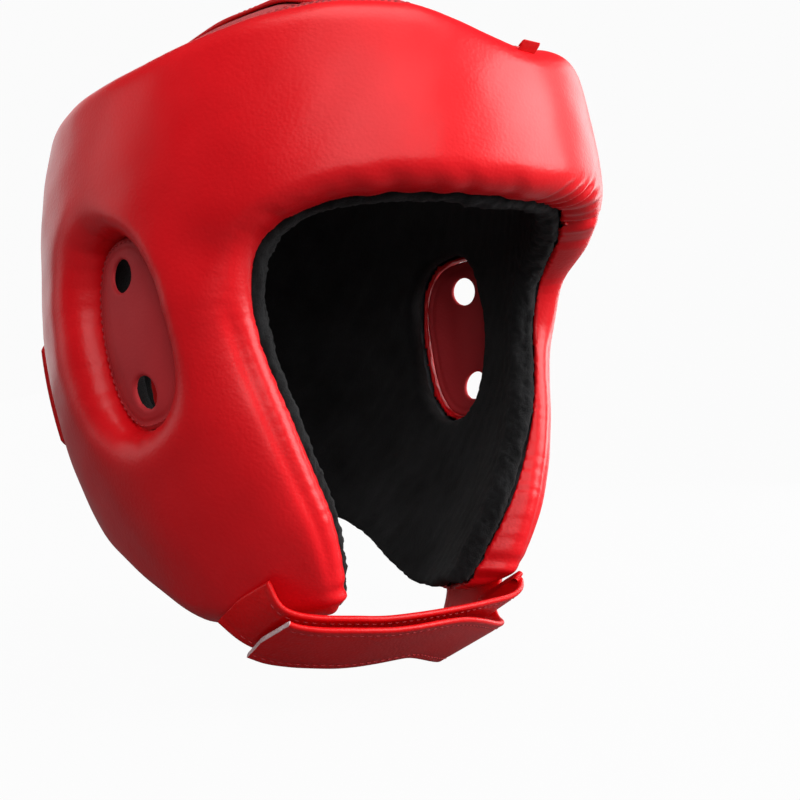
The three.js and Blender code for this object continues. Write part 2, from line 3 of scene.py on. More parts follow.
import bpy
import numpy as np
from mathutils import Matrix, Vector


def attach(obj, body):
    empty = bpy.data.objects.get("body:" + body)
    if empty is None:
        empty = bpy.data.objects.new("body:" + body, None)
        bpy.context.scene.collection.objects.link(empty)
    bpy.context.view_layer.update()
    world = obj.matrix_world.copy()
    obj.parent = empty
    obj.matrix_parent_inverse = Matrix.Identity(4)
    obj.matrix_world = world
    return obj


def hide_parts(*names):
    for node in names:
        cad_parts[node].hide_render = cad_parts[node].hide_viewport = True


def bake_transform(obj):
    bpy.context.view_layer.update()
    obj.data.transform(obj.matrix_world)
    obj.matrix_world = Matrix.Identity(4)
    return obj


# Boxing headgear: the leather, lining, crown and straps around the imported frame.
# Shapes are worked out in millimetres: a point of the wall has a direction phi in degrees (0 in front,
# positive to the wearer's left), a height above the eye-to-mouth middle level, and a radius.
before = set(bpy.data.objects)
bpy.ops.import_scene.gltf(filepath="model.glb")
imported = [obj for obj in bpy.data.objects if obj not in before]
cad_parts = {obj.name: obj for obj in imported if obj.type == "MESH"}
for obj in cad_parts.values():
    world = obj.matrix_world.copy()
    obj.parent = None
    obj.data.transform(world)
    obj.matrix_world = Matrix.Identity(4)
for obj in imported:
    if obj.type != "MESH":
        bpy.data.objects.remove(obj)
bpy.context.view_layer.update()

# ---- sizes, as in the frame ----
half_width, front_reach, rear_reach, plan_power = 112, 129, 128, 2.02
front_wall, rear_wall, lining_thickness = 30, 22, 11
brow_height, cheek_draw, rear_gap_angle = 58, 5, 8
corner_draw = 0.02
top_front, top_crest, top_rear = 116.5, 127.5, 92
lining_shows = 3
seam_gap = 0.6
rear_end = 180 - rear_gap_angle
unroll = math.radians(100)  # millimetres per degree along the wall
middle = np.array([0, -3.14, 133.27])  # the head's axis at the middle level, in the frame

ear_half_width, ear_half_height, ear_tilt, ear_height = 25, 37.5, math.radians(14), 8
ear_floor_depth, vent_radius, vent_spacing = 14, 7, 46

crown_height, crown_thickness, crown_seat, crown_hem = 148, 5, 0.7, 4
slot_half_width, crown_start, crown_front, crown_rear = 12, 14, 80, 84
facing_width, facing_thickness, facing_margin, facing_taper = 30, 1.8, 3, 0.35
facing_length = crown_front + crown_rear - 2 * facing_margin
eyelet_rows, eyelet_inset, eyelet_reach = 5, 9, 62
eyelet_bore, eyelet_barrel, eyelet_flange, flange_thickness, eyelet_play = 3.8, 4.5, 6, 0.9, 0.7
lace_radius = 1.5

strap_width, strap_thickness, patch_thickness, gap = 33, 2.4, 0.8, 0.3
anchor_share, fold_share, outer_end, chin_flat = 0.05, 0.016, 0.14, 44
rear_strap_width, rear_strap_height, rear_root_angle, rear_end_angle = 46, -18, 150, 218
anchor_length, fold_gap = 14, 2.2

# ---- where the soft pieces go their own way ----
brow_sag, rim_sag = 11, 12  # on the wearer's left, where the padding hangs lower
ear_slump, brow_peak = 4, 1.5  # the rim on the wearer's right: lower above the ear, higher by the forehead
cheek_pull = 0.075  # how much more the strap draws in the jaw on the wearer's left, as a share
foam_inset = 3.4  # from the outside of the leather to the foam
forehead_end, forehead_low = 64, brow_height + 12.3  # where the forehead's foam stops
foam_side_start, foam_side_end, foam_rear_start = 24, 128, 128.4
side_notch = (64.4, brow_height + 11.7)  # cut from a side's foam for the forehead's
skin_thickness, ear_leather_thickness = 1.1, 2.2
crown_dip = 18  # how far the soft crown sinks towards the forehead
facing_low = crown_thickness + 0.1  # the facings lie on the fabric
facing_high = facing_low + facing_thickness
hem_length, crown_width = 250, 75  # of a crown panel
eyelet_hole = eyelet_bore + 0.3
tape_inset = 8  # from a chin strap's edge to its touch tape

# ---- stitches: length, space and thread radius ----
ear_stitch, facing_stitch, hem_stitch = (1.9, 1.1, 0.34), (2.4, 0.9, 0.28), (2.6, 1.0, 0.3)
strap_stitch, anchor_stitch = (2.6, 0.9, 0.3), (2.6, 0.9, 0.35)
stitch_inset, facing_stitch_inset = 3.6, 3  # from the edge of a strap, and of a facing
thread_sunk = 0.3  # how deep the middle of a strap's thread lies in the leather

cell = 2.0  # spacing of the surface nets


# ---- meshes ----
def to_frame(points):
    """Millimetres about the head's axis to metres in the frame."""
    return (np.asarray(points) + middle) / 1000


def add_object(name, data):
    piece = bpy.data.objects.new(name, data)
    bpy.context.scene.collection.objects.link(piece)
    return piece


def mesh_object(name, points, faces, materials, body, slot):
    """A smooth-shaded piece from points in millimetres."""
    mesh = bpy.data.meshes.new(name)
    mesh.from_pydata([tuple(p) for p in to_frame(points)], [], [tuple(map(int, f)) for f in faces])
    mesh.update()
    for material in materials:
        mesh.materials.append(material)
    mesh.shade_smooth()
    piece = add_object(name, mesh)
    if body:
        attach(piece, body)
    return piece


def only_used(points, faces):
    """The points that some face uses, the faces renumbered to match, and which points those are."""
    used = np.unique(faces)
    renumber = np.full(len(points), -1)
    renumber[used] = np.arange(len(used))
    return points[used], renumber[faces], used


def joined(parts):
    """Points and faces of several parts as one."""
    points, faces, base = [], [], 0
    for some_points, some_faces in parts:
        points.append(some_points)
        faces += [tuple(v + base for v in f) for f in some_faces]
        base += len(some_points)
    return np.vstack(points), faces


def apply_modifiers(piece):
    """Leaves the piece with its evaluated mesh and no modifiers."""
    graph = bpy.context.evaluated_depsgraph_get()
    made = bpy.data.meshes.new_from_object(piece.evaluated_get(graph))
    piece.modifiers.clear()
    piece.data = made


def smooth(x):
    x = np.clip(x, 0, 1)
    return x * x * (3 - 2 * x)


def fraction(x, low, high):
    return np.clip((x - low) / (high - low), 0, 1)


def bell(offset):
    """1 at nought, falling away to both sides."""
    return np.exp(-(offset**2))


def fading(distance, reach):
    """1 up to an edge, falling away past it."""
    return bell(np.maximum(distance, 0) / reach)


def unit(vectors):
    return vectors / np.linalg.norm(vectors, axis=-1, keepdims=True)


def square_to(tangent, normals):
    """Unit directions nearest to the normals at right angles to the unit tangents."""
    return unit(normals - np.sum(normals * tangent, 1, keepdims=True) * tangent)


def run_along(path):
    return np.concatenate([[0], np.cumsum(np.linalg.norm(np.diff(path, axis=0), axis=1))])


def looked_up(at, run, values):
    """Rows of values at places between those listed in run."""
    return np.stack([np.interp(at, run, values[:, k]) for k in range(3)], -1)


def waves(points, wavelength, count, seed):
    """Smooth noise from about -1 to 1: waves of one length in all directions."""
    own = np.random.default_rng(seed)
    total = 0
    for _ in range(count):
        direction = own.normal(size=3)
        direction /= np.linalg.norm(direction)
        stretch = own.uniform(0.7, 1.4)
        phase = own.uniform(0, 2 * math.pi)
        total = total + np.sin(points @ direction * (2 * math.pi / (wavelength * stretch)) + phase)
    return total / math.sqrt(count)


# ---- the head-shaped wall ----
def outside(phi, height):
    """Radius of the padded wall's outside: a rounded plan, drawn in above the brow and towards the jaw."""
    angle = np.radians(phi)
    reach = np.where(np.cos(angle) > 0, front_reach, rear_reach)
    across = np.abs(np.sin(angle) / half_width) ** plan_power
    along = np.abs(np.cos(angle) / reach) ** plan_power
    draw = np.where(np.cos(angle) > 0, corner_draw, 0)
    plan = (across + along) ** (-1 / plan_power) * (1 - draw * np.sin(2 * angle) ** 2)
    above = 1 - 0.11 * (np.maximum(height - 42, 0) / 76) ** 2
    jaw_draw = 0.32 + 0.065 * smooth(fraction(np.abs(phi), 60, 110))
    jaw_draw = jaw_draw + cheek_pull * bell((phi - 44) / 21)
    below = 1 - jaw_draw * (np.maximum(24 - height, 0) / 134) ** 2
    return plan * above * below


def leather(phi, height):
    """The outside again, thinner beside the face opening."""
    near = smooth(fraction(84 - np.abs(phi), 0, 30))
    return outside(phi, height) - cheek_draw * near * bell((height - 2) / 45)


def wall_at(phi):
    return front_wall + (rear_wall - front_wall) * smooth(fraction(np.abs(phi), 100, 160))


def inside(phi, height):
    return outside(phi, height) - wall_at(phi)


def lining_outside(phi, height):
    return inside(phi, height) + lining_thickness


def top_edge(phi):
    """Height of the band's rim."""
    a = np.abs(phi)
    rise = (top_crest - top_front) * smooth(fraction(a, 0, 25))
    slump = rim_sag * bell((phi - 34) / 20) + ear_slump * bell((phi + 82) / 22)
    peak = brow_peak * bell((phi + 33) / 15)
    return top_front + rise - slump + peak - (top_crest - top_rear) * smooth(fraction(a, 36, 155))


def bottom_edge(phi):
    a = np.abs(phi)
    chin_tip = -105 + 6 * (1 - smooth(fraction(a, 38, 68)))
    return chin_tip + 39 * np.sin((math.pi / 2) * fraction(a, 80, 180)) ** 1.3


def place(radius, phi, height):
    """Points from their radius, direction and height."""
    angle = np.radians(phi)
    return np.stack(np.broadcast_arrays(radius * np.sin(angle), -radius * np.cos(angle), height), -1)


# ---- openings, on the unrolled wall ----
class Outline:
    """Distance into the wall from an opening's edge, and the run along that edge, looked up on a grid."""

    def __init__(self, points, closed, extra=None):
        points = np.asarray(points, float)
        self.low = np.array([-150.0, -170.0])
        self.step = 1.0
        across = np.arange(self.low[0], 330, self.step)
        up = np.arange(self.low[1], 170, self.step)
        grid = np.stack(np.meshgrid(across, up, indexing="ij"), -1)
        ends = np.roll(points, -1, axis=0) if closed else points[1:]
        starts = points if closed else points[:-1]
        best = np.full(grid.shape[:2], np.inf)
        self.distance = np.zeros_like(best)
        self.run = np.zeros_like(best)
        self.extra = np.zeros_like(best)
        travelled = 0.0
        for i, (a, b) in enumerate(zip(starts, ends)):
            d = b - a
            length = np.linalg.norm(d)
            t = np.clip(((grid - a) @ d) / length**2, 0, 1)
            gap_vector = grid - (a + t[..., None] * d)
            distance = np.linalg.norm(gap_vector, axis=-1)
            side = np.sign(d[0] * (grid[..., 1] - a[1]) - d[1] * (grid[..., 0] - a[0]))
            nearer = distance < best - 1e-9
            best = np.where(nearer, distance, best)
            self.distance = np.where(nearer, side * distance, self.distance)
            self.run = np.where(nearer, travelled + t * length, self.run)
            if extra is not None:
                here = extra[i] + t * (extra[(i + 1) % len(extra)] - extra[i])
                self.extra = np.where(nearer, here, self.extra)
            travelled += length
        self.length = travelled

    def look(self, across, up):
        """Distance, run and extra at each point, between the grid's nodes."""
        found = []
        i = np.clip((across - self.low[0]) / self.step, 0, self.distance.shape[0] - 1.001)
        j = np.clip((up - self.low[1]) / self.step, 0, self.distance.shape[1] - 1.001)
        i0, j0 = i.astype(int), j.astype(int)
        fi, fj = i - i0, j - j0
        for values in (self.distance, self.run, self.extra):
            low = values[i0, j0] * (1 - fi) + values[i0 + 1, j0] * fi
            high = values[i0, j0 + 1] * (1 - fi) + values[i0 + 1, j0 + 1] * fi
            found.append(low * (1 - fj) + high * fj)
        return found


def catmull_rom(points, t):
    """A centripetal curve through the points, at a share t of it."""
    points = np.asarray(points, float)
    last = len(points) - 1
    whole = min(int(t * last), last - 1)
    w = t * last - whole
    p1, p2 = points[whole], points[whole + 1]
    p0 = points[whole - 1] if whole > 0 else 2 * p1 - p2
    p3 = points[whole + 2] if whole + 2 <= last else 2 * p2 - p1
    span = [max(np.sum((a - b) ** 2) ** 0.25, 1e-4) for a, b in ((p0, p1), (p1, p2), (p2, p3))]
    d0, d1, d2 = span
    m1 = ((p1 - p0) / d0 - (p2 - p0) / (d0 + d1) + (p2 - p1) / d1) * d1
    m2 = ((p2 - p1) / d1 - (p3 - p1) / (d1 + d2) + (p3 - p2) / d2) * d1
    square, cube = 3 * (p2 - p1) - 2 * m1 - m2, 2 * (p1 - p2) + m1 + m2
    return p1 + m1 * w + square * w**2 + cube * w**3


face_points = [
    (0, brow_height, 13),
    (16, brow_height + 1, 13),
    (32, brow_height, 12),
    (45, brow_height - 5, 10),
    (54, brow_height - 15, 10),
    (57, 26, 15),
    (55, 5, 30),
    (50, -18, 34),
    (44, -42, 28),
    (39, -62, 20),
    (36, -82, 14),
    (35, -100, 10),
    (34, -125, 8),
    (34, -160, 8),
]
face_curve = np.array([catmull_rom(face_points, t) for t in np.linspace(0, 1, 61)])
face_curve = np.vstack([[-80, brow_height, 9], face_curve])
face_unrolled = face_curve[:, :2] * [unroll, 1]
face_start = 80 * unroll  # run at the middle of the brow
face = Outline(face_unrolled, False, face_curve[:, 2])

ear_angles = np.linspace(0, 2 * math.pi, 64, endpoint=False)


def squared(v):
    return np.sign(v) * np.abs(v) ** 0.8


ear_loop = np.stack(
    [ear_half_width * squared(np.cos(ear_angles)), ear_half_height * squared(np.sin(ear_angles))], -1
)
ear = Outline(ear_loop[::-1], True)


def ear_local(phi, height):
    """Position about the ear opening's middle: towards the back, and up, along its own tilted axes."""
    back = (np.abs(phi) - 90) * unroll
    up = height - ear_height
    along = back * math.cos(ear_tilt) - up * math.sin(ear_tilt)
    rise = back * math.sin(ear_tilt) + up * math.cos(ear_tilt)
    return along, rise


def cylindrical(points):
    radius = np.hypot(points[..., 0], points[..., 1])
    phi = np.degrees(np.arctan2(points[..., 0], -points[..., 1]))
    return radius, phi, points[..., 2]


def look_face(phi, height):
    """The face opening's edge; the soft brow sags at its end on the wearer's left."""
    sag = brow_sag * smooth(fraction(phi, 18, 48)) * smooth(fraction(height, -25, 30))
    return face.look(np.abs(phi) * unroll, height + sag)


def look_ear(phi, height):
    """The ear opening's edge, the same on both sides."""
    return ear.look(*ear_local(phi, height))


def rounded(faces, power=2.0):
    """Zero on a body with rounded edges, from pairs of a distance inside and the rounding's reach."""
    total = sum(np.maximum(0, 1 - distance / reach) ** power for distance, reach in faces)
    return total ** (1 / power) - 1


def wall_edges(phi, height, inset, reach, gap_reach):
    """The wall's top, its bottom and its end at the rear gap, as edges to round."""
    return [
        (top_edge(phi) - inset - height, reach),
        (height - bottom_edge(phi) - inset, reach),
        ((rear_end - np.abs(phi)) * math.radians(1) * rear_reach, gap_reach),
    ]


def padding_field(points):
    """Negative inside the padded wall's outer form, with no limit towards the head."""
    radius, phi, height = cylindrical(points)
    face_in, _, lip = look_face(phi, height)
    ear_in = look_ear(phi, height)[0]
    back, up = ear_local(phi, height)
    ear_lip = 10 + 8 * np.maximum(smooth(fraction(back, -18, 10)), smooth(fraction(-up, 5, 40)))
    depth = 10 + 5 * smooth(1 - face_in / 50) * (face_in < 50) + 5 * smooth(1 - ear_in / 40)
    edges = wall_edges(phi, height, 0, 10, 6) + [(face_in, lip), (ear_in, ear_lip)]
    return depth * rounded(edges + [(leather(phi, height) - radius, depth)], 2.3)


def cover_field(points):
    """Negative inside the padded wall between the lining and the outside of the leather."""
    radius, phi, height = cylindrical(points)
    return np.maximum(padding_field(points), lining_outside(phi, height) + seam_gap - radius)


def lining_field(points):
    """Negative inside the comfort lining."""
    radius, phi, height = cylindrical(points)
    reach = 4.5
    inner, outer = radius - inside(phi, height), lining_outside(phi, height) - radius
    distances = [look_face(phi, height)[0] + lining_shows, look_ear(phi, height)[0] - 1, inner, outer]
    return reach * rounded(wall_edges(phi, height, 1, reach, reach) + [(d, reach) for d in distances])


def surface_net(field, low, high, spacing):
    """A quad mesh where the field changes sign inside a box."""
    axes = [np.arange(a, b + spacing, spacing) for a, b in zip(low, high)]
    values = np.empty([len(a) for a in axes], np.float32)
    plane = np.stack(np.meshgrid(axes[1], axes[2], indexing="ij"), -1)
    for i, x in enumerate(axes[0]):
        points = np.concatenate([np.full(plane.shape[:2] + (1,), x), plane], -1)
        values[i] = field(points)
    solid = values < 0
    nx, ny, nz = np.array(values.shape) - 1
    corners = [(a, b, c) for a in (0, 1) for b in (0, 1) for c in (0, 1)]
    count = sum(solid[a : a + nx, b : b + ny, c : c + nz].astype(int) for a, b, c in corners)
    mixed = (count > 0) & (count < 8)
    index = np.full(mixed.shape, -1)
    index[mixed] = np.arange(mixed.sum())
    corner = np.argwhere(mixed) + 0.5
    points = corner * spacing + np.array([a[0] for a in axes])
    quads = []
    for axis in range(3):
        s, cells = np.moveaxis(solid, axis, 0), np.moveaxis(index, axis, 0)
        i, j, k = np.nonzero((s[:-1] != s[1:])[:, 1:-1, 1:-1])
        j, k = j + 1, k + 1
        quad = np.stack([cells[i, j - 1, k - 1], cells[i, j, k - 1], cells[i, j, k], cells[i, j - 1, k]], 1)
        outward = s[i, j, k] != (axis == 1)
        quads.append(np.where(outward[:, None], quad, quad[:, ::-1]))
    return points, np.vstack(quads)


def gradient(field, points, reach=0.35):
    found = np.empty_like(points)
    for axis in range(3):
        step = np.zeros(3)
        step[axis] = reach
        found[:, axis] = (field(points + step) - field(points - step)) / (2 * reach)
    return found


def settle(field, points, rounds):
    """Moves points onto the field's zero surface."""
    for _ in range(rounds):
        slope = gradient(field, points)
        size = np.maximum(np.sum(slope**2, 1), 0.05)
        move = -slope * (field(points) / size)[:, None]
        length = np.linalg.norm(move, axis=1, keepdims=True)
        points = points + move * np.minimum(1, 1.5 / np.maximum(length, 1e-9))
    return points


def relax(points, quads, rounds, field):
    """Evens out the mesh along its surface."""
    a = quads.ravel()
    b = np.roll(quads, -1, axis=1).ravel()
    share = np.bincount(a, minlength=len(points)) + np.bincount(b, minlength=len(points))
    for _ in range(rounds):
        total = np.zeros_like(points)
        for axis in range(3):
            total[:, axis] += np.bincount(a, points[b, axis], len(points))
            total[:, axis] += np.bincount(b, points[a, axis], len(points))
        points = settle(field, 0.4 * points + 0.6 * total / share[:, None], 2)
    return points


def net_normals(field, points):
    slope = gradient(field, points)
    return slope / np.maximum(np.linalg.norm(slope, axis=1, keepdims=True), 1e-9)


def field_mesh(field, low, high, spacing, settling, relaxing):
    """An even quad mesh on a field's zero surface inside a box."""
    points, quads = surface_net(field, low, high, spacing)
    points = settle(field, points, settling)
    return relax(points, quads, relaxing, field), quads


def stand_out(field, points, relief):
    """Moves points along the surface's normals."""
    return points + net_normals(field, points) * relief[:, None]


def refine(points, quads, near):
    """Splits quads with a corner in near into four, and fits their neighbours; gives points and faces."""
    marked = near[quads].any(1)
    edge_middle = {}
    points = list(points)

    def middle_of(a, b):
        key = (a, b) if a < b else (b, a)
        if key not in edge_middle:
            edge_middle[key] = len(points)
            points.append((points[a] + points[b]) / 2)
        return edge_middle[key]

    faces = []
    for quad in quads[marked]:
        a, b, c, d = map(int, quad)
        mids = [middle_of(a, b), middle_of(b, c), middle_of(c, d), middle_of(d, a)]
        centre = len(points)
        points.append((points[a] + points[b] + points[c] + points[d]) / 4)
        faces += [(corner, mids[i], centre, mids[i - 1]) for i, corner in enumerate((a, b, c, d))]
    for quad in quads[~marked]:
        ring = []
        for i in range(4):
            a, b = int(quad[i]), int(quad[(i + 1) % 4])
            ring.append(a)
            key = (a, b) if a < b else (b, a)
            if key in edge_middle:
                ring.append(edge_middle[key])
        faces.append(tuple(ring))
    return np.array(points), faces


# ---- folds, gathers and puckers of the cover ----
def fold_places(start, stop, spacing, depth, seed):
    """Places of folds along an edge, unevenly spaced, each with its own depth and width."""
    own = np.random.default_rng(seed)
    places = []
    run = start
    while run < stop:
        own_depth = depth * own.uniform(0.2, 1)
        own_width = spacing * own.uniform(0.2, 0.36)
        places.append((run, own_depth, own_width, own.uniform(0.8, 1.2)))
        run += spacing * own.uniform(0.5, 1.6)
    return places


def folded(run, reach, places, lean):
    """Valleys across an edge, leaning as they leave it."""
    total = np.zeros_like(run)
    for centre, depth, width, slant in places:
        offset = (run - centre - lean * slant * reach) / width
        fade = bell(np.maximum(reach, 0) * (2 * slant - 1) / 18)
        total -= fade * depth * bell(offset)
        total += 0.45 * fade * depth * bell(np.abs(offset) - 1.9)
    return total


# Each kind of fold starts and stops along its edge, and has a spacing, a depth and a seed.
brow_left = fold_places(8, 70, 7.6, 2.6, 3)
brow_right = fold_places(10, 96, 12.0, 0.7, 4)
cheek_fine = fold_places(128, 330, 4.6, 0.20, 5)
cheek_low = fold_places(236, 312, 8.5, 1.1, 6)
temple = fold_places(98, 122, 8.0, 0.13, 7)
ear_gathers = fold_places(0, 210, 8.0, 0.26, 8)
rim_gathers = fold_places(-320, 320, 9.0, 0.55, 9)


def cover_relief(points):
    """How far the leather stands out from the smooth form, in millimetres."""
    radius, phi, height = cylindrical(points)
    face_in, run, _ = look_face(phi, height)
    run = run - face_start
    depth = leather(phi, height) - radius
    relief = 0.30 * waves(points, 62, 7, 21) + 0.10 * waves(points, 21, 7, 22)
    near_brow = smooth((146 - run) / 24) * fading(face_in, 11) * smooth(fraction(depth, -1, 3))
    relief -= 1.8 * np.exp(-(((height - 37) / 11) ** 2) - ((np.abs(phi) - 63) / 8) ** 2)
    left_folds = folded(run, face_in, brow_left, 0.8) * smooth((80 - run) / 22)
    relief += near_brow * np.where(phi > 0, left_folds, folded(run, face_in, brow_right, 0.5))
    cheek = smooth((run - 120) / 14)
    relief += cheek * folded(run, face_in, cheek_fine, 0.12) * fading(face_in, 4.5)
    relief += cheek * folded(run, face_in, cheek_low, 0.1) * fading(face_in, 11)
    relief -= 1.0 * cheek * bell((face_in - 6.5) / 2.6) * smooth((250 - run) / 40)
    temple_reach = smooth(fraction(face_in, 2, 12)) * bell((face_in - 16) / 18)
    relief += temple_reach * folded(run, face_in, temple, 0.15) * np.where(phi > 0, 0.2, 1)
    ear_in, ear_run, _ = look_ear(phi, height)
    relief += folded(ear_run, ear_in, ear_gathers, 0.25) * fading(ear_in, 6)
    inward = smooth(fraction(depth, 4, 10))
    relief += inward * folded(phi * unroll, depth, rim_gathers, 0.2) * fading(top_edge(phi) - height, 5)
    return relief


def make_cover():
    """The leather over the padding, open towards the lining, with a skin's thickness."""
    low, high = (-118, -134, -112), (118, 133, 136)  # a little past the cover on every side
    points, quads = field_mesh(cover_field, low, high, cell, 5, 3)
    radius, phi, height = cylindrical(points)
    buried = np.abs(radius - lining_outside(phi, height) - seam_gap) < 0.25
    points, quads, _ = only_used(points, quads[~buried[quads].all(1)])
    radius, phi, height = cylindrical(points)
    fine = (look_face(phi, height)[0] < 15) | (look_ear(phi, height)[0] < 8)
    points, quads = refine(points, quads, fine)
    points = settle(cover_field, points, 2)
    points = stand_out(cover_field, points, cover_relief(points))
    cover = mesh_object("padded_cover", points, quads, [red_leather], None, "cover_leather")
    solid = cover.modifiers.new("skin", "SOLIDIFY")
    solid.thickness = skin_thickness / 1000
    solid.offset = -1
    apply_modifiers(cover)
    cover.data.shade_smooth()
    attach(cover, "shell")
    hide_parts("outer_cover")


def make_foam(node, start, stop, low=-200, high=200, notch=None):
    """A foam block of the cover between two directions and two heights, less a notch of the same kind."""

    def field(points):
        radius, phi, height = cylindrical(points)
        unrolled = math.radians(1) * radius
        inner = radius - lining_outside(phi, height) - 2 * seam_gap
        cuts = [height - low, high - height, (phi - start) * unrolled, (stop - phi) * unrolled, inner]
        if notch:
            cuts.append(np.maximum((np.abs(phi) - notch[0]) * unrolled, notch[1] - height))
        return np.maximum(padding_field(points) + foam_inset, 2.5 * rounded([(d, 2.5) for d in cuts]))

    arcs = np.vstack([place(radius, np.linspace(start, stop, 30), 0.0) for radius in (60, 130)])
    (low_x, low_y, _), (high_x, high_y, _) = arcs.min(0) - 8, arcs.max(0) + 8
    box_low, box_high = (low_x, low_y, max(low, -110) - 8), (high_x, high_y, min(high, 128) + 8)
    points, quads = field_mesh(field, box_low, box_high, 4.0, 3, 0)
    points = stand_out(field, points, 0.15 * waves(points, 9, 7, 61))
    block = mesh_object(node + "_block", points, quads, [grey_foam], "shell", "impact_foam")
    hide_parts(node)


def make_lining():
    """The suede lining with its nap, rougher along the face opening."""
    low, high = (-106, -122, -112), (106, 122, 136)  # a little past the lining on every side
    points, quads = field_mesh(lining_field, low, high, cell * 1.25, 5, 2)
    _, phi, height = cylindrical(points)
    points, quads = refine(points, quads, look_face(phi, height)[0] < 9)
    points = settle(lining_field, points, 2)
    _, phi, height = cylindrical(points)
    edge = fading(look_face(phi, height)[0] + lining_shows, 7)
    nap = 0.25 * waves(points, 5, 9, 31) + 0.35 * waves(points, 34, 7, 32)
    nap += edge * (0.28 * waves(points, 2.6, 9, 33) + 0.3 * waves(points, 9, 7, 34))
    points = stand_out(lining_field, points, nap - 0.3)
    lining = mesh_object("suede_lining", points, quads, [black_suede], "shell", "suede_lining")
    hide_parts("inner_lining")


# ---- ear panels ----
def make_ear_panel(name, side):
    """The leather at the bottom of an ear recess, with its two vents."""
    floor_share = 0.94  # of the wall's unrolled length, at the recess's floor
    lean, rise = math.sin(ear_tilt) / unroll, math.cos(ear_tilt)
    vents = [(90 + s * vent_spacing / 2 * lean, ear_height + s * vent_spacing / 2 * rise) for s in (-1, 1)]

    def field(points):
        radius, phi, height = cylindrical(points)
        inset = -look_ear(phi, height)[0] - 0.4
        floor = outside(np.full_like(phi, side * 90.0), height) - ear_floor_depth
        crown = 1.1 * smooth(inset / 14)
        edges = [(inset, 1.6)]
        for vent_phi, vent_height in vents:
            back = (np.abs(phi) - vent_phi) * unroll * floor_share
            edges.append((np.hypot(back, height - vent_height) - vent_radius + 0.5, 1.3))
        faces = [(floor + crown - radius, 1.0), (radius - floor - crown + ear_leather_thickness, 0.8)]
        return 1.5 * rounded(edges + faces)

    low_x, high_x = sorted((side * 60, side * 110))
    spacing = 0.9
    points, quads = field_mesh(field, (low_x, -38, -40), (high_x, 38, 56), spacing, 4, 2)
    _, phi, height = cylindrical(points)
    inset = -look_ear(phi, height)[0]
    relief = 0.12 * waves(points, 16, 7, 41) - 0.5 * bell((inset - 3.4) / 0.8)
    points = stand_out(field, points, relief)
    panel = mesh_object("ear_panel_" + name, points, quads, [ear_leather], "shell", "ear_leather")
    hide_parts("ear_cover_" + name)


def make_ear_seam(name, side):
    """Stitches round the panel, just inside the foot of the recess."""
    loop = np.vstack([ear_loop, ear_loop[:1]])
    loop = loop * (1 - 2 / np.linalg.norm(loop, axis=1, keepdims=True))
    along, rise = loop.T
    back = along * math.cos(ear_tilt) + rise * math.sin(ear_tilt)
    height = ear_height - along * math.sin(ear_tilt) + rise * math.cos(ear_tilt)
    phi = side * (90 + back / unroll)
    radius = outside(np.full_like(phi, side * 90.0), height) - ear_floor_depth + 0.15
    rows = [(place(radius, phi, height), place(1.0, phi, 0.0))]
    thread_rows("ear_seam_" + name, rows, ear_stitch, "shell", "ear_leather")


# ---- flat pieces with rolled edges ----
def border_steps(size, roll, count):
    """Shares of a length, close together near both ends."""
    near = np.array([0, 0.1, 0.3, 0.6, 1]) * roll / size
    return np.concatenate([near[:-1], np.linspace(near[-1], 1 - near[-1], count), 1 - near[:-1][::-1]])


def pillow(name, point, size, depth, counts, roll, materials, body, slot, relief=None, raw_end=False):
    """A closed flat piece with rolled edges. point(a, b, above) gives places, size its lengths along a
    and b, depth the heights of its two faces. A raw end shows the second material."""
    a_steps = border_steps(size[0], roll, counts[0])
    b_steps = border_steps(size[1], roll, counts[1])
    a, b = np.meshgrid(a_steps, b_steps, indexing="ij")
    edge = np.minimum(np.minimum(a, 1 - a) * size[0], np.minimum(b, 1 - b) * size[1])
    share = np.sqrt(np.clip(1 - (1 - np.clip(edge / roll, 0, 1)) ** 2, 0, 1))
    low, high = depth
    centre, half = (low + high) / 2, (high - low) / 2
    extra = 0 if relief is None else relief(a, b)
    top = point(a, b, centre + half * share + extra * share)
    bottom = point(a, b, centre - half * share)
    rows, columns = a.shape
    index = np.arange(rows * columns).reshape(rows, columns)
    under = index + rows * columns
    under[0], under[-1], under[:, 0], under[:, -1] = index[0], index[-1], index[:, 0], index[:, -1]
    faces, kinds = [], []
    for i in range(rows - 1):
        for j in range(columns - 1):
            faces.append((index[i, j], index[i, j + 1], index[i + 1, j + 1], index[i + 1, j]))
            faces.append((under[i, j], under[i + 1, j], under[i + 1, j + 1], under[i, j + 1]))
            kinds += [int(raw_end and i > rows - 6)] * 2
    points = np.vstack([top.reshape(-1, 3), bottom.reshape(-1, 3)])
    points, faces, used = only_used(points, np.array(faces))
    p = points[faces[: len(faces) : 2]]
    normal = np.cross(p[:, 2] - p[:, 0], p[:, 3] - p[:, 1])
    above = points[faces[::2]].mean(1) - points[faces[1::2]].mean(1)
    if np.sum(normal * above) < 0:
        faces = faces[:, ::-1]
    piece = mesh_object(name, points, faces, materials, body, slot)
    uv = piece.data.uv_layers.new(name="flat")
    flat = np.concatenate([np.stack([a.ravel() * size[0], b.ravel() * size[1]], -1)] * 2)[used] / 1000
    loops = np.empty(len(piece.data.loops), int)
    piece.data.loops.foreach_get("vertex_index", loops)
    uv.data.foreach_set("uv", flat[loops].ravel())
    piece.data.polygons.foreach_set("material_index", kinds)
    return piece


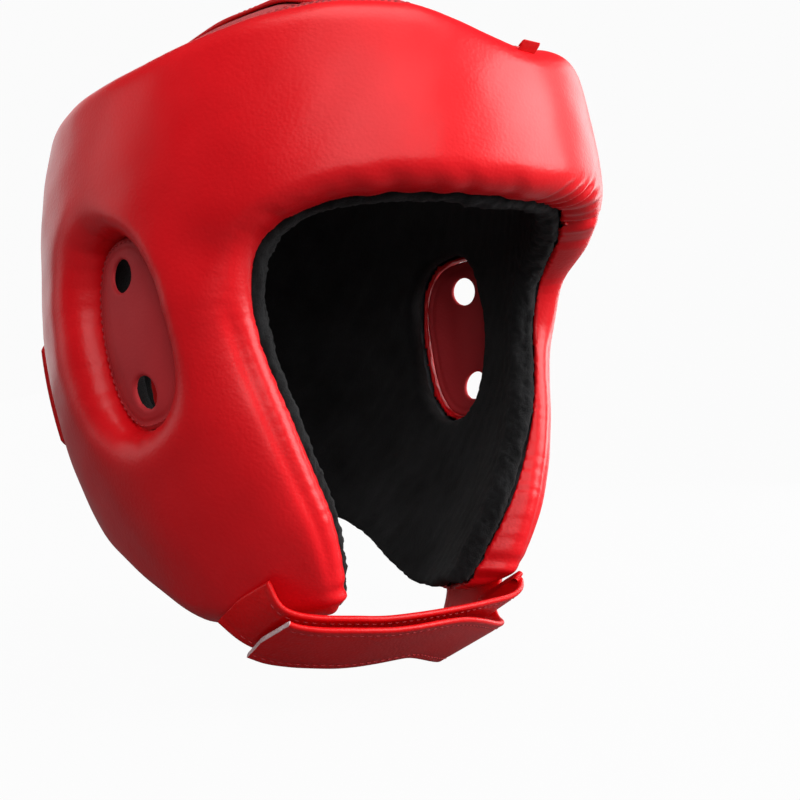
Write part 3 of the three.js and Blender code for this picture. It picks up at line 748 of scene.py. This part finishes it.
def tube(path, normals, radius, sides):
    """Points and faces of a round tube along a path; radius may differ at each point."""
    path = np.asarray(path)
    tangent = unit(np.gradient(path, axis=0))
    normal = square_to(tangent, normals)
    side = np.cross(tangent, normal)
    angle = np.linspace(0, 2 * math.pi, sides, endpoint=False)
    radius = np.broadcast_to(radius, (len(path), sides))
    around = np.cos(angle)[:, None] * normal[:, None] + np.sin(angle)[:, None] * side[:, None]
    points = (path[:, None] + radius[..., None] * around).reshape(-1, 3)
    faces = []
    for i in range(len(path) - 1):
        for j in range(sides):
            n = (j + 1) % sides
            faces.append((i * sides + j, i * sides + n, (i + 1) * sides + n, (i + 1) * sides + j))
    faces.append(tuple(range(sides))[::-1])
    faces.append(tuple((len(path) - 1) * sides + j for j in range(sides)))
    return points, faces


def thread_rows(name, rows, stitch, body, slot):
    """Stitches along rows of (points, normals): each dips into the leather at both ends."""
    length, space, radius = stitch
    arch = np.sqrt(1 - np.linspace(-0.98, 0.98, 6) ** 2)
    parts = []
    for path, normals in rows:
        run = run_along(path)
        count = max(int(run[-1] // (length + space)), 1)
        for s in range(count):
            at = (s + 0.5) * (run[-1] / count) + np.linspace(-0.5, 0.5, 6) * length
            normal = looked_up(at, run, normals)
            line = looked_up(at, run, path) + normal * (radius * (1.5 * arch - 0.95))[:, None]
            parts.append(tube(line, normal, radius * (0.55 + 0.45 * arch)[:, None], 6))
    mesh_object(name, *joined(parts), [red_thread], body, slot)


# ---- straps ----
class Route:
    """A strap's middle line with its directions, looked up by its share."""

    def __init__(self, points, normals):
        self.t = np.linspace(0, 1, 401)
        self.point = np.array([catmull_rom(points, x) for x in self.t])
        ahead = np.array([catmull_rom(points, min(x + 1e-4, 1)) for x in self.t])
        before = np.array([catmull_rom(points, max(x - 1e-4, 0)) for x in self.t])
        self.tangent = unit(ahead - before)
        self.normal = square_to(self.tangent, np.array([catmull_rom(normals, x) for x in self.t]))
        self.length = np.sum(np.linalg.norm(np.diff(self.point, axis=0), axis=1))

    def look(self, values, t):
        return looked_up(t, self.t, values)

    def at(self, t, offset=0.0, across=0.0):
        """A place at a share t, moved along the normal and sideways."""
        point, normal, tangent = (self.look(v, t) for v in (self.point, self.normal, self.tangent))
        side = np.cross(tangent, normal)
        return point + normal * np.asarray(offset)[..., None] + side * np.asarray(across)[..., None]


def on_wall(phi, height, above, down):
    normal = place(1.0, phi, -down)
    return place(outside(phi, height) + above, phi, height), normal / np.linalg.norm(normal)


def free_point(x, y, z, *normal):
    normal = np.array(normal, float)
    return np.array([x, y, z], float), normal / np.linalg.norm(normal)


# The outer strap lies stack_step over the inner one's far half, with the two tapes between them.
strap_seat = gap + strap_thickness / 2 + 0.5
stack_step = strap_thickness + 2 * patch_thickness + 3 * gap
inner_points = [
    on_wall(-62, -91, strap_seat - 0.5, 0.5),
    on_wall(-55, -102, strap_seat + 3, 1.1),
    free_point(-42, -61, -108, -0.25, -0.54, -0.82),
    free_point(-chin_flat / 2, -64, -109, 0, -0.56, -0.83),
    free_point(chin_flat / 2, -64, -109, 0, -0.56, -0.83),
    free_point(42, -61, -108, 0.25, -0.54, -0.82),
    on_wall(44, -103.5, strap_seat - 2.4, 1.1),
    on_wall(47, -99.5, strap_seat - 0.8, 0.9),
]
inner_route = Route(*zip(*inner_points))
outer_points = [
    on_wall(86, -88, strap_seat, 0.45),
    on_wall(78, -101, strap_seat + 1.5, 0.9),
    free_point(62, -28, -122, 0.4, -0.3, -0.87),
    free_point(42, -49, -123, 0.2, -0.5, -0.85),
] + [
    (inner_route.at(t, stack_step), inner_route.look(inner_route.normal, t))
    for t in (0.5, 0.43, 0.36, 0.29, 0.25, 0.21, 0.17, outer_end)
]
outer_route = Route(*zip(*outer_points))


def groove(edge):
    """The dent that the stitches pull into a strap along its edges."""
    return -0.42 * bell((edge - stitch_inset) / 0.7)


def make_chin_strap(name, route, node, anchor, body, end_skew, root_skew):
    """A leather strap with rolled edges, from its sewn end to its raw cut end."""
    half, thick = strap_width / 2, strap_thickness / 2

    def share_at(a, across):
        """Both ends are cut at a slant, end_skew and root_skew millimetres from the middle to an edge."""
        slant = root_skew * (1 - smooth(a / 0.15)) + end_skew * smooth((a - 0.85) / 0.15)
        return np.clip(a + slant * across / half / route.length, 0, 1)

    def point(a, b, above):
        across = (2 * b - 1) * half
        return route.at(share_at(a, across), above, across)

    def relief(a, b):
        return groove(np.minimum(b, 1 - b) * strap_width)

    size, depth, counts = (route.length, strap_width), (-thick, thick), (120, 22)
    materials, slot = [strap_leather, raw_edge], "strap_leather"
    strap = pillow(name, point, size, depth, counts, 1.2, materials, None, slot, relief, raw_end=True)
    root, fold_end = route.at(anchor_share - 0.01), route.at(anchor_share + fold_share + 0.01)
    tuple(to_frame(root))
    tuple(to_frame(fold_end))
    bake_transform(strap)
    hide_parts(node, anchor)
    rows = []
    for edge in (-half + stitch_inset, half - stitch_inset):
        t = np.linspace(anchor_share + fold_share + 0.02, 0.965, 160)
        t = t + end_skew * smooth((t - 0.85) / 0.15) * edge / half / route.length
        line = route.at(t, np.full_like(t, thick - thread_sunk), np.full_like(t, edge))
        rows.append((line, route.look(route.normal, t)))
    thread_rows(name + "_stitches", rows, strap_stitch, body, "strap_leather")


def make_tape(name, node, body, first, last, above):
    """A strip of touch tape on the inner strap's route, well inside the strap's edges."""
    half = strap_width / 2 - tape_inset
    length = (last - first) * inner_route.length

    def point(a, b, lift):
        across = (2 * b - 1) * half
        return inner_route.at(first + (last - first) * a, above + lift, across)

    def relief(a, b):
        return 0.16 * np.sin(a * length * 2.4) * np.sin(b * 2 * half * 2.4)

    depth = (-patch_thickness / 2, patch_thickness / 2)
    size = (length, 2 * half)
    tape = pillow(name, point, size, depth, (90, 28), 0.6, [touch_tape], body, "touch_tape", relief)
    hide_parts(node)


def make_rear_strap():
    """The strap across the rear gap, from its sewn end round to its rounded tip."""
    half = rear_strap_width / 2
    loop_above = 2 * gap
    strap_above = loop_above + 2 * (patch_thickness + gap)
    root = rear_root_angle - anchor_length / (math.radians(1) * rear_reach)
    length = (rear_end_angle - root) * math.radians(1) * rear_reach
    centre_above = strap_above + strap_thickness / 2

    def point(a, b, above):
        phi = root + (rear_end_angle - root) * a
        height = rear_strap_height - half + 2 * half * b
        corner = 3.0 * np.clip((a * length - length + 9) / 9, 0, 1) ** 2
        height = rear_strap_height + (height - rear_strap_height) * (1 - corner / half)
        turned = np.where(phi > 180, phi - 360, phi)
        lift = -(centre_above - loop_above - strap_thickness / 2) * smooth(1 - a * length / anchor_length)
        return place(outside(turned, height) + centre_above + lift + above, phi, height)

    def relief(a, b):
        return groove(np.minimum(np.minimum(b, 1 - b) * rear_strap_width, (1 - a) * length))

    label, slot = "rear_strap_leather", "strap_leather"
    thick = strap_thickness / 2
    size, depth = (length, rear_strap_width), (-thick, thick)
    strap = pillow(label, point, size, depth, (90, 26), 1.2, [strap_leather], None, slot, relief)
    fold = rear_root_angle + fold_gap / (math.radians(1) * rear_reach)

    def wall_point(phi):
        turned = phi if phi < 180 else phi - 360
        radius = outside(np.array(float(turned)), np.array(float(rear_strap_height)))
        return tuple(to_frame(place(radius + centre_above, phi, rear_strap_height)))

    wall_point(rear_root_angle - 1)
    wall_point(fold + 1)
    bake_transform(strap)
    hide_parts("rear_strap", "rear_anchor")

    def row(a, b, above):
        here = point(a, b, above)
        return here, point(a, b, above + 1) - here

    along, across = np.linspace(0.17, 0.965, 120), np.linspace(0.08, 0.92, 40)
    above = thick - thread_sunk
    sides = (stitch_inset / rear_strap_width, 1 - stitch_inset / rear_strap_width)
    rows = [row(along, np.full(120, b), above) for b in sides]
    rows.append(row(np.full(40, 1 - stitch_inset / length), across, above))
    thread_rows("rear_strap_stitches", rows, strap_stitch, "rear_closure", "strap_leather")
    across = np.linspace(0.1, 0.9, 40)
    rows = [row(np.full(40, a), across, thick + 0.05) for a in (0.028, 0.093)]
    thread_rows("rear_anchor_stitches", rows, anchor_stitch, "shell", "strap_leather")


# ---- crown ----
def dome_foot(phi):
    """How far out the crown's hem reaches."""
    return lining_outside(phi, top_edge(phi)) - lining_thickness / 2 + crown_hem


def dome_height(x, y):
    """Height of the crown's underside, which starts at the band's top edge."""
    phi = np.degrees(np.arctan2(x, -y))
    foot = top_edge(phi) - crown_seat
    share = np.hypot(x, y) / dome_foot(phi)
    sunk = crown_dip * smooth(fraction(-y, 20, 70)) * (1 - np.minimum(share, 1) ** 2)
    return crown_height - crown_thickness - (crown_height - crown_thickness - foot) * share**1.8 - sunk


def crown_normal(x, y):
    step = 0.5
    slope_x = (dome_height(x + step, y) - dome_height(x - step, y)) / (2 * step)
    slope_y = (dome_height(x, y + step) - dome_height(x, y - step)) / (2 * step)
    return unit(np.stack([-slope_x, -slope_y, np.ones_like(slope_x)], -1))


def crown_point(x, y, above):
    """A place over the crown's underside, measured along its normal."""
    x, y = np.broadcast_arrays(np.asarray(x, float), np.asarray(y, float))
    point = np.stack([x, y, dome_height(x, y)], -1)
    return point + crown_normal(x, y) * np.asarray(above)[..., None]


def crown_plan(side, along, across):
    """A place in plan between the slot and the hem, from the front to the back."""
    phi = crown_start + (180 - 2 * crown_start) * along
    foot = place(dome_foot(phi), side * phi, 0.0)
    slot_y = -np.cos(math.pi * along) * np.where(along < 0.5, crown_front, crown_rear)
    x = side * slot_half_width + (foot[..., 0] - side * slot_half_width) * across
    return x, slot_y + (foot[..., 1] - slot_y) * across


eyelet_x = slot_half_width + eyelet_inset


def eyelet_y(row):
    return eyelet_reach * (2 * row / (eyelet_rows - 1) - 1)


def bore_through(piece, side):
    """Cuts the round eyelet holes of one side, with a cutter that doesn't stay."""
    parts = []
    for row in range(eyelet_rows):
        x, y = np.array(side * eyelet_x), np.array(eyelet_y(row))
        foot, head = crown_point(x, y, -8.0), crown_point(x, y, 16.0)
        path = foot + (head - foot) * np.linspace(0, 1, 2)[:, None]
        parts.append(tube(path, np.array([[1.0, 0, 0]] * 2), eyelet_hole, 28))
    cutter = mesh_object(piece.name + "_cutter", *joined(parts), [], "shell", "eyelet_metal")
    cut = piece.modifiers.new("eyelet_holes", "BOOLEAN")
    cut.operation = "DIFFERENCE"
    cut.solver = "EXACT"
    cut.object = cutter
    apply_modifiers(piece)
    bpy.data.objects.remove(cutter)


crown_pleats = fold_places(6, 160, 11.0, 0.9, 51)


def make_crown_fabric(name, side):
    """Ribbed fabric, gathered towards its hem."""

    def point(a, b, above):
        return crown_point(*crown_plan(side, a, b), above)

    def relief(a, b):
        gather = smooth(fraction(b, 0.35, 0.9))
        low = 0.5 * np.sin(a * 23) * np.sin(b * 6 + 1) * smooth(b) * smooth(4 - 4 * b)
        ends = bell(a / 0.22) + bell((1 - a) / 0.22)
        return low + (0.3 + ends) * gather * folded(a * 230, b * 40, crown_pleats, 0.2)

    size, depth = (hem_length, crown_width), (0.6, crown_thickness - 0.5)
    counts = ((150, 60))
    materials, slot = [ribbed_fabric], "ribbed_fabric"
    panel = pillow("crown_fabric_" + name, point, size, depth, counts, 2.4, materials, "shell", slot, relief)
    bore_through(panel, side)
    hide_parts("crown_panel_" + name)


def make_crown_facing(name, side):
    """A leather facing along the slot, stitched all round."""

    def plan(a, b):
        y = -crown_front + facing_margin + facing_length * a
        width = facing_width * (1 - facing_taper * (2 * a - 1) ** 4)
        return side * (slot_half_width + width * b), y

    def point(a, b, above):
        return crown_point(*plan(a, b), above)

    def relief(a, b):
        edge = np.minimum(np.minimum(a, 1 - a) * facing_length, np.minimum(b, 1 - b) * facing_width)
        return -0.4 * bell((edge - facing_stitch_inset) / 0.6) + 0.18 * np.sin(a * 31) * np.sin(b * 5)

    label = "crown_leather_" + name
    size, depth = (facing_length, facing_width), (facing_low, facing_high)
    materials, slot = [strap_leather], "cover_leather"
    facing = pillow(label, point, size, depth, (90, 24), 0.9, materials, "shell", slot, relief)
    bore_through(facing, side)
    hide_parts("crown_facing_" + name)
    along, across = np.linspace(0.025, 0.975, 140), np.linspace(0.12, 0.88, 24)
    a_inset, b_inset = facing_stitch_inset / facing_length, facing_stitch_inset / facing_width
    places = [plan(along, np.full(140, b)) for b in (b_inset, 1 - b_inset)]
    places += [plan(np.full(24, a), across) for a in (a_inset, 1 - a_inset)]
    rows = [(crown_point(x, y, facing_high - 0.25), crown_normal(x, y)) for x, y in places]
    thread_rows("crown_leather_stitches_" + name, rows, facing_stitch, "shell", slot)


def make_crown_hem(name, side):
    """A row of stitches along the fabric's hem."""
    x, y = crown_plan(side, np.linspace(0.02, 0.98, 200), np.full(200, 0.955))
    hem = [(crown_point(x, y, crown_thickness - 0.55), crown_normal(x, y))]
    thread_rows("crown_hem_stitches_" + name, hem, hem_stitch, "shell", "ribbed_fabric")


def make_eyelet(name, side, row):
    """A pressed metal eyelet with rolled flanges on both faces."""
    top, foot = facing_high + eyelet_play, -eyelet_play
    half = (eyelet_flange - eyelet_bore) / 2

    def flange(angles, height):
        rolls = [(half * math.cos(a), flange_thickness * math.sin(a)) for a in angles]
        return [(eyelet_bore + half + out, height + up) for out, up in rolls]

    profile = flange(np.linspace(math.pi, 0, 9), top)
    profile += [(eyelet_barrel, top - 0.02), (eyelet_barrel, foot + 0.02)]
    profile += flange(np.linspace(0, -math.pi, 7), foot)
    x, y = np.array(side * eyelet_x), np.array(eyelet_y(row))
    normal = crown_normal(x, y)
    base = crown_point(x, y, 0.0)
    first = unit(np.cross(normal, [0, 1, 0]))
    second = np.cross(normal, first)
    sides, count = 32, len(profile)
    angle = np.linspace(0, 2 * math.pi, sides, endpoint=False)
    around = np.cos(angle)[:, None] * first + np.sin(angle)[:, None] * second
    points = [base + normal * above + radius * around for radius, above in profile]
    faces = []
    for i in range(count):
        for j in range(sides):
            n, k = (j + 1) % sides, (i + 1) % count
            faces.append((i * sides + j, k * sides + j, k * sides + n, i * sides + n))
    label = name + "_" + str(row + 1)
    eyelet = mesh_object("eyelet_" + label, np.vstack(points), faces, [nickel], "shell", "eyelet_metal")
    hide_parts("crown_eyelet_" + label)


def make_lace():
    """The cord zigzags over the slot and under the panels, as in the frame, and is braided."""
    over = facing_high + eyelet_play + flange_thickness + lace_radius + 2 * gap
    under = -eyelet_play - flange_thickness - lace_radius - 2 * gap
    spacing = eyelet_y(1) - eyelet_y(0)
    points = []
    for row in range(eyelet_rows):
        y = eyelet_y(row)
        side = -1 if row % 2 else 1
        x, inward = side * eyelet_x, side * (eyelet_x - 3.5)
        last = row == eyelet_rows - 1
        if row == 0:
            points += [(x, y - 9, under - 1), (x, y - 3.5, under)]
        points += [(x, y, 0), (x, y, facing_high), (inward, y, over), (0, y, over - 1)]
        points += [(-inward, y, over), (-x, y, facing_high), (-x, y, 0), (-x, y + 3.5, under)]
        points.append((-x, y + (9 if last else spacing / 2), under - 1))
        if not last:
            points.append((-x, y + spacing - 3.5, under))
    knots = np.array([crown_point(*p) for p in points])
    steps = 1400
    path = np.array([catmull_rom(knots, t) for t in np.linspace(0, 1, steps)])
    run = run_along(path)
    even = np.linspace(0, run[-1], steps)
    path = looked_up(even, run, path)
    sides = 16
    angle = np.linspace(0, 2 * math.pi, sides, endpoint=False)
    twist = even[:, None] * (2 * math.pi / 4.2)
    braid = np.maximum(np.sin(4 * angle + twist), np.sin(4 * angle - twist))
    radius = lace_radius * (0.93 + 0.09 * braid)
    ring, faces = tube(path, np.tile([0.05, 0.02, 1.0], (steps, 1)), radius, sides)
    lace = mesh_object("crown_lace_cord", ring, faces, [cord_braid], "shell", "lace_cord")
    for end, place_of in (("front", knots[0]), ("rear", knots[-1])):
        turns = np.linspace(0, 4 * math.pi, 90)
        knot = np.stack([1.8 * np.cos(turns), 1.5 * np.sin(turns + 0.6), 1.5 * np.sin(1.5 * turns)], -1)
        ring, faces = tube(place_of + knot, np.tile([0.1, 0.3, 1.0], (90, 1)), lace_radius * 0.95, 10)
        mesh_object("lace_knot_" + end, ring, faces, [cord_braid], "shell", "lace_cord")
    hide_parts("crown_lace")


def make_hanging_loop():
    """A folded leather loop on the band's rim at the forehead, smaller than the frame's."""
    radius, straight, width, lean, thick = 2.9, 1.2, 10, math.radians(52), 1.5
    rim_rounding, seat = 10, 0.4
    middle_radius = radius - thick / 2
    bend = math.pi * middle_radius
    stand = rim_rounding + seat
    rim = outside(np.array(0.0), np.array(float(top_front))) - rim_rounding + stand * math.sin(lean)
    foot = top_front - rim_rounding + stand * math.cos(lean)

    def point(a, b, above):
        run = a * (2 * straight + bend)
        turn = np.clip((run - straight) / middle_radius, 0, math.pi)
        reach = middle_radius + above
        y = -reach * np.cos(turn)
        z = np.where(run > straight + bend, 2 * straight + bend - run, straight + reach * np.sin(turn))
        z = np.where(run < straight, run, z)
        x = (b - 0.5) * width
        back = y * math.cos(lean) + z * -math.sin(lean)
        up = -y * math.sin(lean) + z * math.cos(lean)
        return np.stack([x + 0 * y, back - rim, up + foot], -1)

    size, depth = (2 * straight + bend, width), (-thick / 2, thick / 2)
    materials, slot = [strap_leather], "cover_leather"
    loop = pillow("hanging_loop_leather", point, size, depth, (40, 12), 0.7, materials, "shell", slot)
    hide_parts("hanging_loop")


# ---- materials ----
def connect(tree, node, inputs):
    """Sets inputs to values, or links them to other nodes' outputs."""
    for name, value in inputs.items():
        if isinstance(value, bpy.types.NodeSocket):
            tree.links.new(value, node.inputs[name])
        else:
            node.inputs[name].default_value = value


def add_node(tree, kind, inputs):
    node = tree.nodes.new(kind)
    connect(tree, node, inputs)
    return node


def new_material(name):
    material = bpy.data.materials.new(name)
    material.use_nodes = True
    return material, material.node_tree, material.node_tree.nodes["Principled BSDF"]


def position(tree, scale=(1, 1, 1), coordinate="Object"):
    source = tree.nodes.new("ShaderNodeTexCoord").outputs[coordinate]
    return add_node(tree, "ShaderNodeMapping", {"Vector": source, "Scale": scale}).outputs["Vector"]


def ramp(tree, value, low, dark, high, light):
    """A colour between dark and light."""
    node = add_node(tree, "ShaderNodeValToRGB", {"Fac": value})
    for element, place_on, color in zip(node.color_ramp.elements, (low, high), (dark, light)):
        element.position = place_on
        element.color = (*color, 1)
    return node.outputs["Color"]


def noise(tree, vector, scale, detail, roughness=0.5):
    inputs = {"Vector": vector, "Scale": scale, "Detail": detail, "Roughness": roughness}
    return add_node(tree, "ShaderNodeTexNoise", inputs).outputs["Fac"]


def wave(tree, vector, direction, scale, distortion):
    inputs = {"Vector": vector, "Scale": scale, "Distortion": distortion, "Detail": 1}
    node = add_node(tree, "ShaderNodeTexWave", inputs)
    node.bands_direction = direction
    return node.outputs["Fac"]


def combine(tree, operation, *values):
    """A maths node on values or other nodes' outputs."""
    node = tree.nodes.new("ShaderNodeMath")
    node.operation = operation
    connect(tree, node, dict(enumerate(values)))
    return node.outputs[0]


def bump(tree, height, strength, distance, below=None):
    node = add_node(tree, "ShaderNodeBump", {"Height": height, "Strength": strength, "Distance": distance})
    if below is not None:
        connect(tree, node, {"Normal": below})
    return node.outputs["Normal"]


def span(tree, value, low, high):
    inputs = {"Value": value, "To Min": low, "To Max": high}
    return add_node(tree, "ShaderNodeMapRange", inputs).outputs["Result"]


def leather_material(name, dark, light, roughness, coat, grain=1.0):
    """Coated leather: fine pebbles, faint creases, uneven colour and gloss."""
    material, tree, shader = new_material(name)
    vector = position(tree)
    patches = noise(tree, vector, 26, 3)
    gloss = noise(tree, vector, 90, 4)
    cells = tree.nodes.new("ShaderNodeTexVoronoi")
    cells.feature = "SMOOTH_F1"
    connect(tree, cells, {"Vector": vector, "Scale": 780, "Smoothness": 0.6})
    creases = noise(tree, position(tree, (1, 1, 2.2)), 260, 5, 0.65)
    rough = bump(tree, creases, 0.15 * grain, 0.0005)
    inputs = {
        "Base Color": ramp(tree, patches, 0.3, dark, 0.7, light),
        "Roughness": span(tree, gloss, roughness - 0.05, roughness + 0.07),
        "Normal": bump(tree, cells.outputs["Distance"], 0.30 * grain, 0.00025, rough),
        "Coat Weight": coat,
        "Coat Roughness": 0.22,
        "Specular IOR Level": 0.20,
    }
    connect(tree, shader, inputs)
    return material


def suede_material(name):
    """Short dark nap: strong fuzz, no gloss, brushed patches."""
    material, tree, shader = new_material(name)
    vector = position(tree)
    fuzz = noise(tree, vector, 1500, 4, 0.7)
    nap = combine(tree, "MULTIPLY", fuzz, noise(tree, vector, 60, 3))
    inputs = {
        "Base Color": ramp(tree, nap, 0.12, (0.0012, 0.0012, 0.0013), 0.42, (0.011, 0.011, 0.012)),
        "Roughness": 0.95,
        "Specular IOR Level": 0.15,
        "Sheen Weight": 0.06,
        "Sheen Roughness": 0.6,
        "Normal": bump(tree, fuzz, 0.9, 0.0006),
    }
    connect(tree, shader, inputs)
    return material


def ribbed_material(name):
    """A ribbed knit: rows of small loops along the piece's own lengths."""
    material, tree, shader = new_material(name)
    vector = position(tree, coordinate="UV")
    ribs, loops = wave(tree, vector, "X", 125, 0.6), wave(tree, vector, "Y", 260, 1.2)
    knit = combine(tree, "MULTIPLY_ADD", loops, 0.45, ribs)
    fuzz = noise(tree, position(tree), 1800, 3)
    inputs = {
        "Base Color": ramp(tree, knit, 0.15, (0.24, 0.005, 0.007), 1.1 / 1.45, (0.60, 0.022, 0.027)),
        "Roughness": 0.85,
        "Sheen Weight": 0.08,
        "Normal": bump(tree, knit, 0.9, 0.0009, bump(tree, fuzz, 0.35, 0.0004)),
    }
    connect(tree, shader, inputs)
    return material


def plain_material(name, dark, light, roughness, scale, depth, metallic=0.0):
    """Speckled colour over a fine rough surface: thread, tape pile, foam, metal, cut edges."""
    material, tree, shader = new_material(name)
    grain = noise(tree, position(tree), scale, 4, 0.6)
    inputs = {
        "Base Color": ramp(tree, grain, 0.3, dark, 0.7, light),
        "Roughness": roughness,
        "Metallic": metallic,
        "Normal": bump(tree, grain, 0.6, depth),
    }
    connect(tree, shader, inputs)
    return material


red_leather = leather_material("red_leather", (0.62, 0.003, 0.007), (0.72, 0.005, 0.010), 0.38, 0.12)
strap_leather = leather_material("strap_leather", (0.54, 0.001, 0.002), (0.64, 0.002, 0.004), 0.38, 0.02, 1.2)
# The ear panels' paler, duller red is partly their own matte leather and partly a painted reflection of the
# white surroundings.
ear_leather = leather_material("ear_leather", (0.47, 0.026, 0.032), (0.56, 0.034, 0.040), 0.60, 0.0, 0.7)
ribbed_fabric = ribbed_material("ribbed_fabric")
black_suede = suede_material("black_suede")
raw_edge = plain_material("raw_edge", (0.42, 0.26, 0.27), (0.66, 0.52, 0.52), 0.8, 900, 0.0004)
red_thread = plain_material("red_thread", (0.36, 0.010, 0.014), (0.50, 0.020, 0.026), 0.6, 2400, 0.0001)
touch_tape = plain_material("touch_tape", (0.006, 0.006, 0.007), (0.03, 0.03, 0.032), 0.9, 1400, 0.0008)
grey_foam = plain_material("grey_foam", (0.06, 0.06, 0.065), (0.11, 0.11, 0.12), 0.95, 1200, 0.0004)
nickel = plain_material("nickel", (0.56, 0.56, 0.58), (0.70, 0.70, 0.72), 0.26, 400, 0.00005, 1.0)
cord_braid = plain_material("cord_braid", (0.40, 0.012, 0.016), (0.60, 0.026, 0.032), 0.7, 1600, 0.0002)


def finish_cad_nodes():
    """The rear strap's touch tapes keep their own shapes."""
    for name in ("rear_hook_patch", "rear_loop_patch"):
        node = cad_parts[name]
        node.data.materials.clear()
        node.data.materials.append(touch_tape)


# ---- studio ----
def make_camera():
    """The photo's view: 42 degrees round to the wearer's right, level with the eyes, hardly tilted."""
    azimuth, distance, lens = math.radians(-42), 0.627, 65.34
    pan, tilt = math.radians(3.11), math.radians(1.78)
    data = bpy.data.cameras.new("camera")
    data.lens = lens
    data.sensor_width = 36
    camera = add_object("camera", data)
    axis = middle / 1000
    camera.location = (distance * math.sin(azimuth), axis[1] - distance * math.cos(azimuth), axis[2])
    camera.rotation_euler = (math.pi / 2 - tilt, 0, azimuth - pan)
    bpy.context.scene.camera = camera


soft_boxes = [  # name, place, size and power
    ("key_box", (0.66, -0.90, 0.62), (0.9, 0.8), 21),
    ("top_box", (-0.15, -0.25, 1.20), (0.8, 0.8), 8),
    ("front_card", (-0.70, -0.95, 0.72), (1.0, 0.9), 10),
    ("left_card", (-0.75, 0.90, 0.30), (0.5, 1.0), 2),
    ("back_card", (0.40, 1.20, 0.30), (1.3, 1.0), 5.5),
    ("right_card", (0.95, 0.05, 0.25), (0.4, 0.9), 4),
]


def make_lights():
    """Soft boxes and cards that all face the headgear; none of them shows in the picture."""
    for name, location, size, power in soft_boxes:
        data = bpy.data.lights.new(name, "AREA")
        data.shape = "RECTANGLE"
        data.size, data.size_y = size
        data.energy = power
        light = add_object(name, data)
        light.location = location
        light.rotation_euler = (Vector((0, 0, 0.15)) - Vector(location)).to_track_quat("-Z", "Y").to_euler()


def backdrop_material():
    """A dim surface under an even glow that only the camera sees, so that it looks white."""
    material, tree, shader = new_material("white_backdrop")
    connect(tree, shader, {"Base Color": (0.14, 0.14, 0.145, 1), "Roughness": 0.9})
    glow = add_node(tree, "ShaderNodeEmission", {"Color": (1, 1, 1, 1), "Strength": 1.03})
    seen = tree.nodes.new("ShaderNodeLightPath").outputs["Is Camera Ray"]
    share = combine(tree, "MULTIPLY", seen, 0.93)
    inputs = {"Fac": share, 1: shader.outputs["BSDF"], 2: glow.outputs["Emission"]}
    mix = add_node(tree, "ShaderNodeMixShader", inputs)
    connect(tree, tree.nodes["Material Output"], {"Surface": mix.outputs["Shader"]})
    return material


def make_backdrop():
    """A floor that curves up into a wall behind the headgear."""
    front, back, bend, top, half_span = -1.6, 0.9, 0.7, 2.6, 3.0
    profile = [(front, 0.0), (back, 0.0)]
    for angle in np.linspace(0, math.pi / 2, 13)[1:]:
        profile.append((back + bend * math.sin(angle), bend - bend * math.cos(angle)))
    profile.append((back + bend, top))
    cos, sin = math.cos(math.radians(-45)), math.sin(math.radians(-45))
    points = []
    for x in (-half_span, half_span):
        points += [(x * cos - y * sin, x * sin + y * cos, z) for y, z in profile]
    n = len(profile)
    mesh = bpy.data.meshes.new("backdrop")
    mesh.from_pydata(points, [], [(i, n + i, n + i + 1, i + 1) for i in range(n - 1)])
    mesh.shade_smooth()
    mesh.materials.append(backdrop_material())
    add_object("backdrop", mesh)


def make_world():
    """A faint pale light from all round, which looks white to the camera."""
    world = bpy.data.worlds.new("world")
    bpy.context.scene.world = world
    world.use_nodes = True
    tree = world.node_tree
    faint = tree.nodes["Background"]
    connect(tree, faint, {"Color": (0.93, 0.94, 0.96, 1), "Strength": 0.10})
    white = add_node(tree, "ShaderNodeBackground", {"Color": (0.96, 0.96, 0.96, 1)})
    seen = tree.nodes.new("ShaderNodeLightPath").outputs["Is Camera Ray"]
    inputs = {"Fac": seen, 1: faint.outputs["Background"], 2: white.outputs["Background"]}
    either = add_node(tree, "ShaderNodeMixShader", inputs)
    connect(tree, tree.nodes["World Output"], {"Surface": either.outputs["Shader"]})


make_camera()
make_backdrop()
make_world()
make_lights()
finish_cad_nodes()
make_cover()
make_lining()
make_foam("foam_forehead", -forehead_end, forehead_end, low=forehead_low)
for side_name, side_sign in (("right", -1), ("left", 1)):
    make_foam("foam_rear_" + side_name, *sorted((side_sign * foam_rear_start, side_sign * rear_end)))
    side_range = sorted((side_sign * foam_side_start, side_sign * foam_side_end))
    make_foam("foam_side_" + side_name, *side_range, notch=side_notch)
    make_ear_panel(side_name, side_sign)
    make_ear_seam(side_name, side_sign)
    make_crown_fabric(side_name, side_sign)
    make_crown_facing(side_name, side_sign)
    make_crown_hem(side_name, side_sign)
    for row in range(eyelet_rows):
        make_eyelet(side_name, side_sign, row)
make_lace()
make_hanging_loop()
make_chin_strap(
    "inner_chin_leather", inner_route, "chin_strap_inner", "chin_anchor_right", "inner_chin_strap", -6, -4
)
make_chin_strap(
    "outer_chin_leather", outer_route, "chin_strap_outer", "chin_anchor_left", "outer_chin_strap", -9, 4
)
loop_above = strap_thickness / 2 + gap + patch_thickness / 2
make_tape("chin_loop_tape", "chin_loop_patch", "inner_chin_strap", 0.17, 0.41, loop_above)
hook_above = loop_above + patch_thickness + gap
make_tape("chin_hook_tape", "chin_hook_patch", "outer_chin_strap", 0.17, 0.35, hook_above)
make_rear_strap()

bpy.context.scene.view_settings.view_transform = "Standard"
